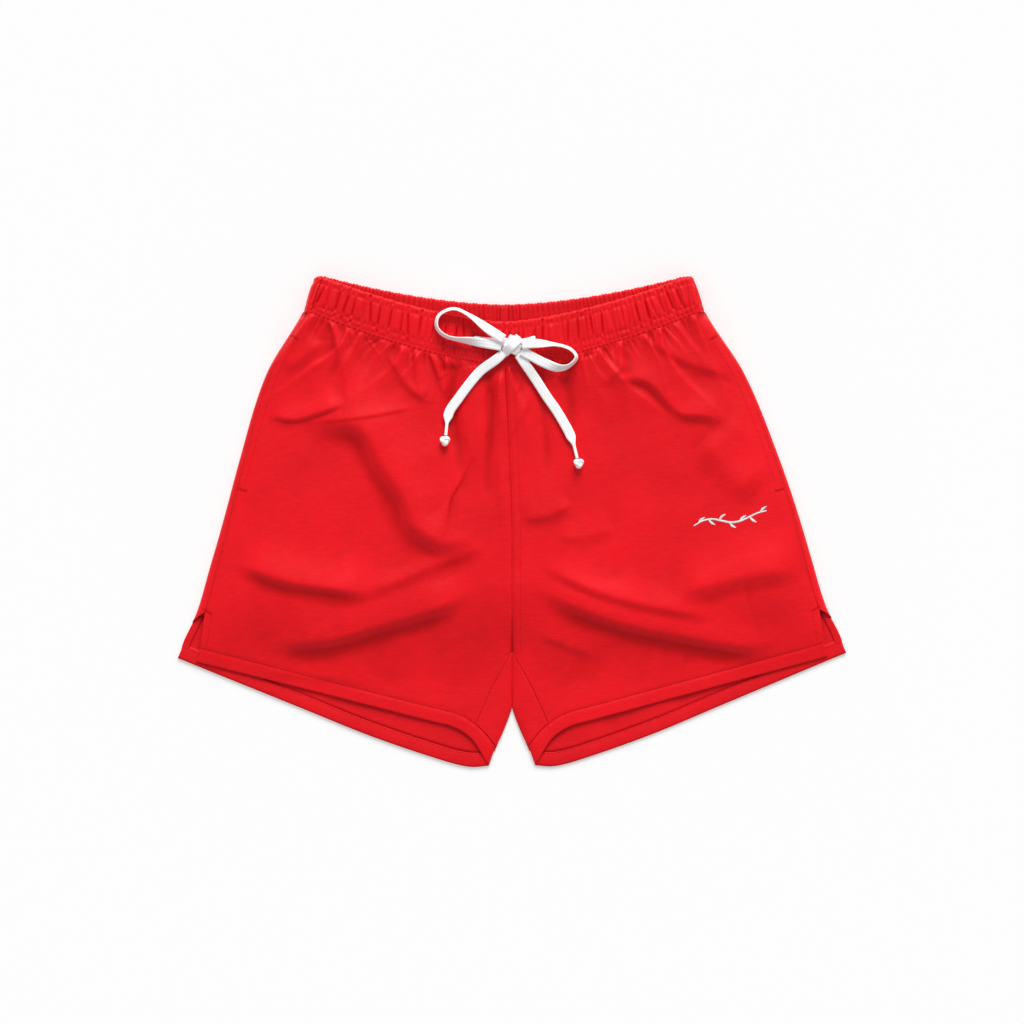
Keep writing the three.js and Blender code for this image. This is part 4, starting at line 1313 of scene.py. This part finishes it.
def ring_band(name, node, low, high, inner, outer, material, slot_name, start=None, end=None):
    """A flat band that runs round the waist inside the casing, whole or from one place to another."""
    u, angle, _ = waist_rows()
    if start is not None:
        front = angle > math.pi / 2 - 0.01
        keep = ~(front & (u > start) & (u < end))
        first = int(np.argmax(front & (u >= end)))
        order = [(first + k) % len(u) for k in range(len(u))]
        order = [k for k in order if keep[k]]
        u, angle = u[order], angle[order]
    u, angle = u[::3], angle[::3]
    section = [(outer, low), (outer, high), (inner, high), (inner, low)]
    rings = np.stack([band_point(u, angle, offset, height) for offset, height in section], 1)
    piece = tube_mesh(name, rings, material, wrap=start is None)
    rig.replaces(piece, node)
    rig.slot(piece, slot_name)
    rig.ride(piece, "shorts")


# ---- Drawcord ----
def section_of(width, thick):
    """Half round edges, slightly ribbed flat faces: (across, up) points of a flat cord's section."""
    points = []
    for k in range(13):
        across = lerp(-1, 1, k / 12)
        rib = 1 + 0.10 * math.cos(across * 3 * math.pi)
        points.append((across * (width / 2 - 0.3), thick / 2 * math.sqrt(max(0.12, 1 - across**4)) * rib))
    return np.array(points + [(a, -b) for a, b in reversed(points)])


def ribbon(name, points, twist, width_at, material, steps=150):
    """A flat cord along a route in metres. twist(t) tips it on edge; width_at(t) is its width in mm."""
    route = route_through(np.array(points) / MM, 600)
    t = np.linspace(0, 1, steps)
    line = route(t)
    forward = unit(np.gradient(line, axis=0))
    flat = unit(np.cross([0, 0, 1.0], forward))
    up = np.cross(forward, flat)
    rings, along, across = [], [], []
    run = run_of(line)
    for j in range(steps):
        tip = twist(t[j])
        sideways = math.cos(tip) * flat[j] + math.sin(tip) * up[j]
        lift = math.cos(tip) * up[j] - math.sin(tip) * flat[j]
        width = width_at(t[j])
        thick = CORD_THICK / MM * (1 + 0.8 * max(0, 1 - width / 10))
        section = section_of(width, thick)
        rings.append(line[j] + section[:, :1] * sideways + section[:, 1:] * lift)
        along += [run[j]] * len(section)
        across += (section[:, 0] + 5).tolist()
    piece = tube_mesh(name, np.stack(rings), material)
    mark(piece, "along", along)
    mark(piece, "across", across)
    path = [tuple(p * MM) for p in line[:: max(1, steps // 40)]] + [tuple(line[-1] * MM)]
    return piece, path, route.length * MM


def make_tail(name):
    def width(t):
        return lerp(9.8, 3.6, float(ease((t - 0.80) / 0.10))) * lerp(0.9, 1, float(ease(t / 0.1)))

    def twist(t):
        return 0.05 * math.sin(5 * t)

    piece, path, length = ribbon(f"cord_tail_{name}", TAIL_POINTS[name], twist, width, KNIT)
    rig.replaces(piece, f"drawcord_tail_{name}")
    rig.slot(piece, "cord_knit")
    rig.ride(piece, f"tail_{name}")
    knot = make_end_knot(name, path)
    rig.cord(
        piece, exit=path[0], length=length, diameter=CORD_WIDTH, far_end="knot",
        stiffness="limp", lay="loose", path=path, with_pieces=[knot],
    )


def make_loop(name):
    def width(t):
        return 9.6

    def twist(t):
        flat_again = 0.95 if name == "left" else 0.82
        tip = 1.28 * float(ease((t - 0.02) / 0.3) * ease((flat_again - t) / 0.28))
        return tip if name == "left" else -tip

    piece, path, length = ribbon(f"cord_loop_{name}", LOOP_POINTS[name], twist, width, KNIT)
    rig.replaces(piece, f"bow_loop_{name}")
    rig.slot(piece, "cord_knit")
    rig.ride(piece, f"loop_{name}")
    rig.cord(
        piece, exit=path[0], length=length, diameter=CORD_WIDTH, far_end="object",
        stiffness="limp", lay="loose", path=path,
    )


def make_end_knot(name, path):
    """A small overhand knot: a trefoil of the narrowed cord."""
    centre = np.mean(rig.box(f"tail_knot_{name}"), axis=0) / MM
    centre[2] -= 0.6
    t = np.linspace(0, 2 * math.pi, 60, endpoint=False)
    trefoil = [np.sin(t) + 2 * np.sin(2 * t), np.cos(t) - 2 * np.cos(2 * t), -0.9 * np.sin(3 * t)]
    line = np.stack(trefoil, -1) * 1.12
    forward = unit(np.roll(line, -1, 0) - np.roll(line, 1, 0))
    side = unit(np.cross([0, 0, 1.0], forward))
    up = np.cross(forward, side)
    angles = np.linspace(0, 2 * math.pi, 10, endpoint=False)
    rings = [
        centre + p + 1.9 * (np.cos(angles)[:, None] * s + 0.85 * np.sin(angles)[:, None] * u)
        for p, s, u in zip(line, side, up)
    ]
    rings = np.stack(rings)
    rings[..., 2] = np.maximum(rings[..., 2], FRONT_TOP_Z + 0.6)
    piece = tube_mesh(f"cord_end_knot_{name}", rings, KNIT, wrap=True)
    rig.replaces(piece, f"tail_knot_{name}")
    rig.slot(piece, "cord_knit")
    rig.ride(piece, f"tail_{name}")
    return piece


def make_bow_knot():
    """The wrapped middle of the bow: one strap over another, with a turn of cord at each side."""
    wraps = [
        ([(-9, 159, 17.5), (-6, 160.5, 22.5), (-1, 165, 27.0), (4, 170.5, 25.5), (7, 174, 19.5)], 9.5),
        ([(-8.5, 170, 18), (-6, 169, 23), (0, 166, 25.2), (6, 163, 23), (8.5, 161.5, 18)], 9),
        ([(-8, 165, 18.2), (-4, 163.5, 22.8), (3, 161, 24), (7, 158.5, 20)], 8),
        ([(-3, 173.5, 18), (0, 172, 23.5), (5, 168, 24.6), (8.6, 165.5, 19)], 8),
    ]
    points, faces, along, across = [], [], [], []
    for route_points, width in wraps:
        piece, _, _ = ribbon("wrap", np.array(route_points) * MM, lambda t: 0.0, lambda t: width, KNIT, 40)
        start = len(points)
        points += [tuple(v.co / MM) for v in piece.data.vertices]
        faces += [[start + k for k in p.vertices] for p in piece.data.polygons]
        for key, values in (("along", along), ("across", across)):
            values += [v.value for v in piece.data.attributes[key].data]
        bpy.data.objects.remove(piece)
    knot = add_mesh("cord_bow_knot", points, faces, [KNIT])
    mark(knot, "along", along)
    mark(knot, "across", across)
    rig.replaces(knot, "bow_knot")
    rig.slot(knot, "cord_knit")
    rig.ride(knot, "shorts")


def make_stub(name, side):
    low, high = (np.array(c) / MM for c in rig.box(f"drawcord_stub_{name}"))
    start = low[0] if side < 0 else high[0]
    end = high[0] if side < 0 else low[0]
    y0 = (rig.box(f"eyelet_{name}")[0][1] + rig.box(f"eyelet_{name}")[1][1]) / 2 / MM
    route = [
        (start + side * -0.6, y0, 16.2), (start + side * -1.4, y0, 18.2),
        (lerp(start, end, 0.35), lerp(y0, 168, 0.3), 18.6), (end - side * 1.5, 168, 18.6),
    ]

    def twist(t):
        return 0.25 * side * (1 - t)

    def width(t):
        return lerp(7.5, 9, t)

    piece, _, _ = ribbon(f"cord_stub_{name}", np.array(route) * MM, twist, width, KNIT, 60)
    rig.replaces(piece, f"drawcord_stub_{name}")
    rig.slot(piece, "cord_knit")
    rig.ride(piece, "shorts")


for name in SIDES:
    make_tail(name)
    make_loop(name)
make_bow_knot()
for name, side in SIDES.items():
    make_stub(name, side)

# ---- Cloth ----
for name, side in SIDES.items():
    make_front_panel(name, side)
    make_back_panel(name, side)
    make_inseam(name, side)
    make_front_hem(name, side)
    make_back_hem(name, side)
    make_side_roll(name, side, "upper", 199, POCKET_TOP_Y)
    make_side_roll(name, side, "lower", POCKET_TOP_Y, VENT_TOP[1])
make_waistband()
band_stitches()
ring_band("web_elastic", "waist_elastic", 4, 33, -0.6, 0.0, ELASTIC, "elastic")
ring_band("cord_in_band", "drawcord_in_casing", 15, 25, 0.1, 0.6, KNIT, "cord_knit", -0.165, 0.165)


# ---- Topstitching on the legs ----
def on_front(side, out, y, lift=0.42):
    return in_place(side, out, y, front_z(side, out, y) + lift)


def make_leg_stitches(name, side):
    t = np.linspace(0.004, 0.996, 500)
    out, y = hem_stitch(t).T
    rows = [on_front(side, out, y, 0.62)]
    y = np.linspace(POCKET_TOP_Y - 2, POCKET_BOTTOM_Y + 2, 200)
    rows.append(on_front(side, half_width(y) - side_inset(y) - 7.5, y))
    y = np.linspace(VENT_TOP[1] - 2, VENT_FOOT_Y + 3, 60)
    rows.append(on_front(side, vent_edge(y) - 7, y))
    out = np.linspace(20, 312, 300)
    rows.append(in_place(side, out, back_hem_edge(out) + HEM_DEPTH - 0.6, 2.05 + 0 * out))
    piece = stitches(f"stitches_leg_{name}", rows, RED_THREAD)
    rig.slot(piece, "red_thread")
    bend_with_leg(piece, name)


def make_centre_stitches():
    y = np.linspace(147, CROTCH_Y + 4, 240)
    rows = [on_front(1, 0 * y + offset, y) for offset in (2.6, 8.2)]
    piece = stitches("stitches_centre_front", rows, RED_THREAD, 2.4, 0.8, 0.36)
    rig.slot(piece, "red_thread")
    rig.ride(piece, "shorts")


for name, side in SIDES.items():
    make_leg_stitches(name, side)
make_centre_stitches()


# ---- Bar tacks, eyelets and the motif ----
SATIN_STEP = 0.42


def satin_bar(name, node, side, out, y, turn, length, wide, material, slot_name, leg=None):
    """A dense zigzag of thread: short stitches side by side."""
    count = int(length / SATIN_STEP)
    rows = []
    for k in range(count):
        along = lerp(-length / 2, length / 2, k / (count - 1))
        line = []
        for end in (-wide / 2, 0, wide / 2):
            dx = along * math.cos(turn) - end * math.sin(turn)
            dy = along * math.sin(turn) + end * math.cos(turn)
            o, v = np.array([out + dx]), np.array([y + dy])
            z = front_z(side, o, v) + (0.75 if end == 0 else 0.5)
            line.append(in_place(side, o, v, z)[0])
        rows.append(np.array([lerp(line[0], line[1], -0.05), line[1], line[2]]))
    piece = stitches(name, rows, material, wide * 0.94, 0.01, 0.55)
    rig.replaces(piece, node)
    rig.slot(piece, slot_name)
    if leg:
        bend_with_leg(piece, leg)
    else:
        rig.ride(piece, "shorts")


for name, side in SIDES.items():
    top_out = float(half_width(POCKET_TOP_Y)) - 9
    satin_bar(f"tack_pocket_top_{name}", f"pocket_tack_top_{name}", side, top_out, POCKET_TOP_Y + 3,
              0.5, 9, 2.4, RED_THREAD, "red_thread")
    low_out = float(half_width(POCKET_BOTTOM_Y)) - 10
    satin_bar(f"tack_pocket_low_{name}", f"pocket_tack_bottom_{name}", side, low_out, POCKET_BOTTOM_Y - 2,
              0.25, 9, 2.2, RED_THREAD, "red_thread")
    satin_bar(f"tack_vent_{name}", f"vent_tack_{name}", side, VENT_TOP[0] - 3, VENT_TOP[1] + 1.5,
              0.5, 9, 1.6, RED_THREAD, "red_thread", leg=name)


def make_eyelet(name):
    centre = np.mean(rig.box(f"eyelet_{name}"), axis=0) / MM
    lift = np.array([0, 0, 0.1])
    rows = []
    for a in np.linspace(0, 2 * math.pi, 72, endpoint=False):
        inner = np.array([1.3 * math.cos(a), 5.4 * math.sin(a), 0])
        outer = np.array([2.9 * math.cos(a), 7.2 * math.sin(a), 0])
        rows.append([centre + inner - 0.2 * lift, centre + (inner + outer) / 2 + lift, centre + outer])
    piece = stitches(f"eyelet_stitches_{name}", rows, RED_THREAD, 1.5, 0.02, 0.6)
    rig.replaces(piece, f"eyelet_{name}")
    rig.slot(piece, "red_thread")
    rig.ride(piece, "shorts")


for name in SIDES:
    make_eyelet(name)


def make_motif():
    """A plain flourish in white satin stitch: a wavy stem with small leaves."""
    low, high = (np.array(c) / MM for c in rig.box("stitched_motif"))
    first_x, last_x = low[0] + 1, high[0] - 1
    points, faces = [], []

    def stem_y(x):
        fade = lerp(1, 0.6, (x - first_x) / (last_x - first_x))
        return 1.3 + 4.2 * math.sin((x - first_x) / 8.6) * fade + 0.17 * (x - 207)

    def satin(line, width_of):
        """Stitches side by side across a line."""
        route = route_through(line, 200)
        count = int(route.length / 0.38)
        for k in range(count):
            t = k / (count - 1)
            here = route(t)
            ahead = route(min(1, t + 0.01)) if t < 0.99 else 2 * here - route(t - 0.01)
            forward = unit(ahead - here)
            half = np.array([-forward[1], forward[0]]) * width_of(t) / 2 + forward * 0.25
            ends = []
            for x, y in (here - half, here + half):
                z = front_z(1, np.array([x + skew(y)]), np.array([y]))[0] + 0.5
                ends.append(np.array([x, y, z]))
            add_stitch(points, faces, *ends, 0.44, 0.25)

    stem = [(x, stem_y(x)) for x in np.linspace(first_x, last_x, 9)]
    satin(stem, lambda t: 1.2 + 0.8 * math.sin(math.pi * t))
    for k in range(7):
        x = lerp(first_x + 4, last_x - 6, k / 6)
        y = stem_y(x)
        rise = 1 if k % 2 == 0 else -1
        leaf = [(x, y), (x + 2.6, y + 3.2 * rise), (x + 6.2, y + 5.4 * rise)]
        satin(leaf, lambda t: 0.5 + 2.0 * math.sin(math.pi * t))
    piece = add_mesh("motif_stitches", points, faces, [WHITE_THREAD])
    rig.replaces(piece, "stitched_motif")
    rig.slot(piece, "white_thread")
    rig.ride(piece, "shorts")


make_motif()


# ---- Inside: pockets, facings and seam allowances ----
def make_pocket_layer(name, side, layer):
    wide, deep = 114, 120
    v, u = shares(40, 44)
    mouth = lerp(POCKET_TOP_Y - 6, POCKET_BOTTOM_Y + 4, v)
    hang = 62 * np.sin(math.pi * np.clip(0.15 + u * 0.75, 0, 1))
    y = mouth - hang * v * np.minimum(1, u * 4) - 10 * u
    edge = half_width(mouth) - (side_inset(mouth) + 1 if layer == "front" else 5)
    out = edge - u * wide
    rim = np.minimum(np.minimum((1 - u) * wide, v * deep + 2), (1 - v) * deep + 2)
    x, ly = lay(side, out, y)
    flat = 2.1 + 0.3 * ripple(x, ly, 12, 60, 20)
    if layer == "front":
        raised = front_z(side, out, y) - 1.7
        z = lerp(flat + 0.8, raised, np.maximum(ease(rim / 14), u < 0.01))
    else:
        z = flat
    piece = cloth(f"pocket_{layer}_{name}", in_place(side, out, y, z), 0.4, POCKETING, POCKETING)
    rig.replaces(piece, f"pocket_bag_{layer}_{name}")
    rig.slot(piece, "pocket_cloth")
    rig.ride(piece, "shorts")


def make_facing(name, side, layer):
    v, u = shares(24, 7)
    y = lerp(VENT_TOP[1] - 3, VENT_FOOT_Y, v) + 0 * u
    if layer == "front":
        out = vent_edge(y) - 7.5 * u
        z = front_z(side, out, y) - 1.1
    else:
        out = half_width(y) - 0.6 - 7.5 * u
        z = 1.55 + 0.2 * np.sin(math.pi * u) + 0 * y
    piece = cloth(f"facing_{layer}_{name}", in_place(side, out, y, z), 0.5, INNER_SHADED, INNER_SHADED)
    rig.replaces(piece, f"vent_facing_{layer}_{name}")
    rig.slot(piece, "inner_cloth")
    bend_with_leg(piece, name)


def make_strip(name, node, ys, heights):
    """A seam allowance that runs up the middle of the shorts."""
    wide = 8
    v = np.asarray(ys, float)[:, None]
    u = np.linspace(-0.5, 0.5, 7)[None, :]
    edge = 0.25 * np.sin(v * 2.1) * (np.abs(u) > 0.4)
    x, y = lay(1, 0 * v + u * wide + edge, v + 0 * u)
    z = np.asarray(heights, float)[:, None] + 0.3 * np.cos(u * math.pi) - 0.3
    piece = cloth(name, np.stack([x, y, z], -1), 0.5, INNER_SHADED, INNER_SHADED)
    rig.replaces(piece, node)
    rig.slot(piece, "inner_cloth")
    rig.ride(piece, "shorts")


for name, side in SIDES.items():
    for layer in ("front", "back"):
        make_pocket_layer(name, side, layer)
        make_facing(name, side, layer)
centre_y = np.linspace(146, CROTCH_Y + 8, 120)
under_front = front_z(1, 0 * centre_y + 1, centre_y) - 1.6
make_strip("allowance_centre_front", "front_rise_seam", centre_y, under_front)
centre_y = np.linspace(165, CROTCH_Y + 8, 120)
make_strip("allowance_centre_back", "back_rise_seam", centre_y, 0 * centre_y + 2.2)
join_y = np.linspace(171, 204, 30)
make_strip("waistband_back_join", "waistband_join", join_y, 0 * join_y + 5.4)

with open("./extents.json", "w") as out_file:
    json.dump(
        {"cad": [list(map(float, c)) for c in CAD_BOX], "visual": [list(map(float, c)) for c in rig.bounds()]},
        out_file,
    )
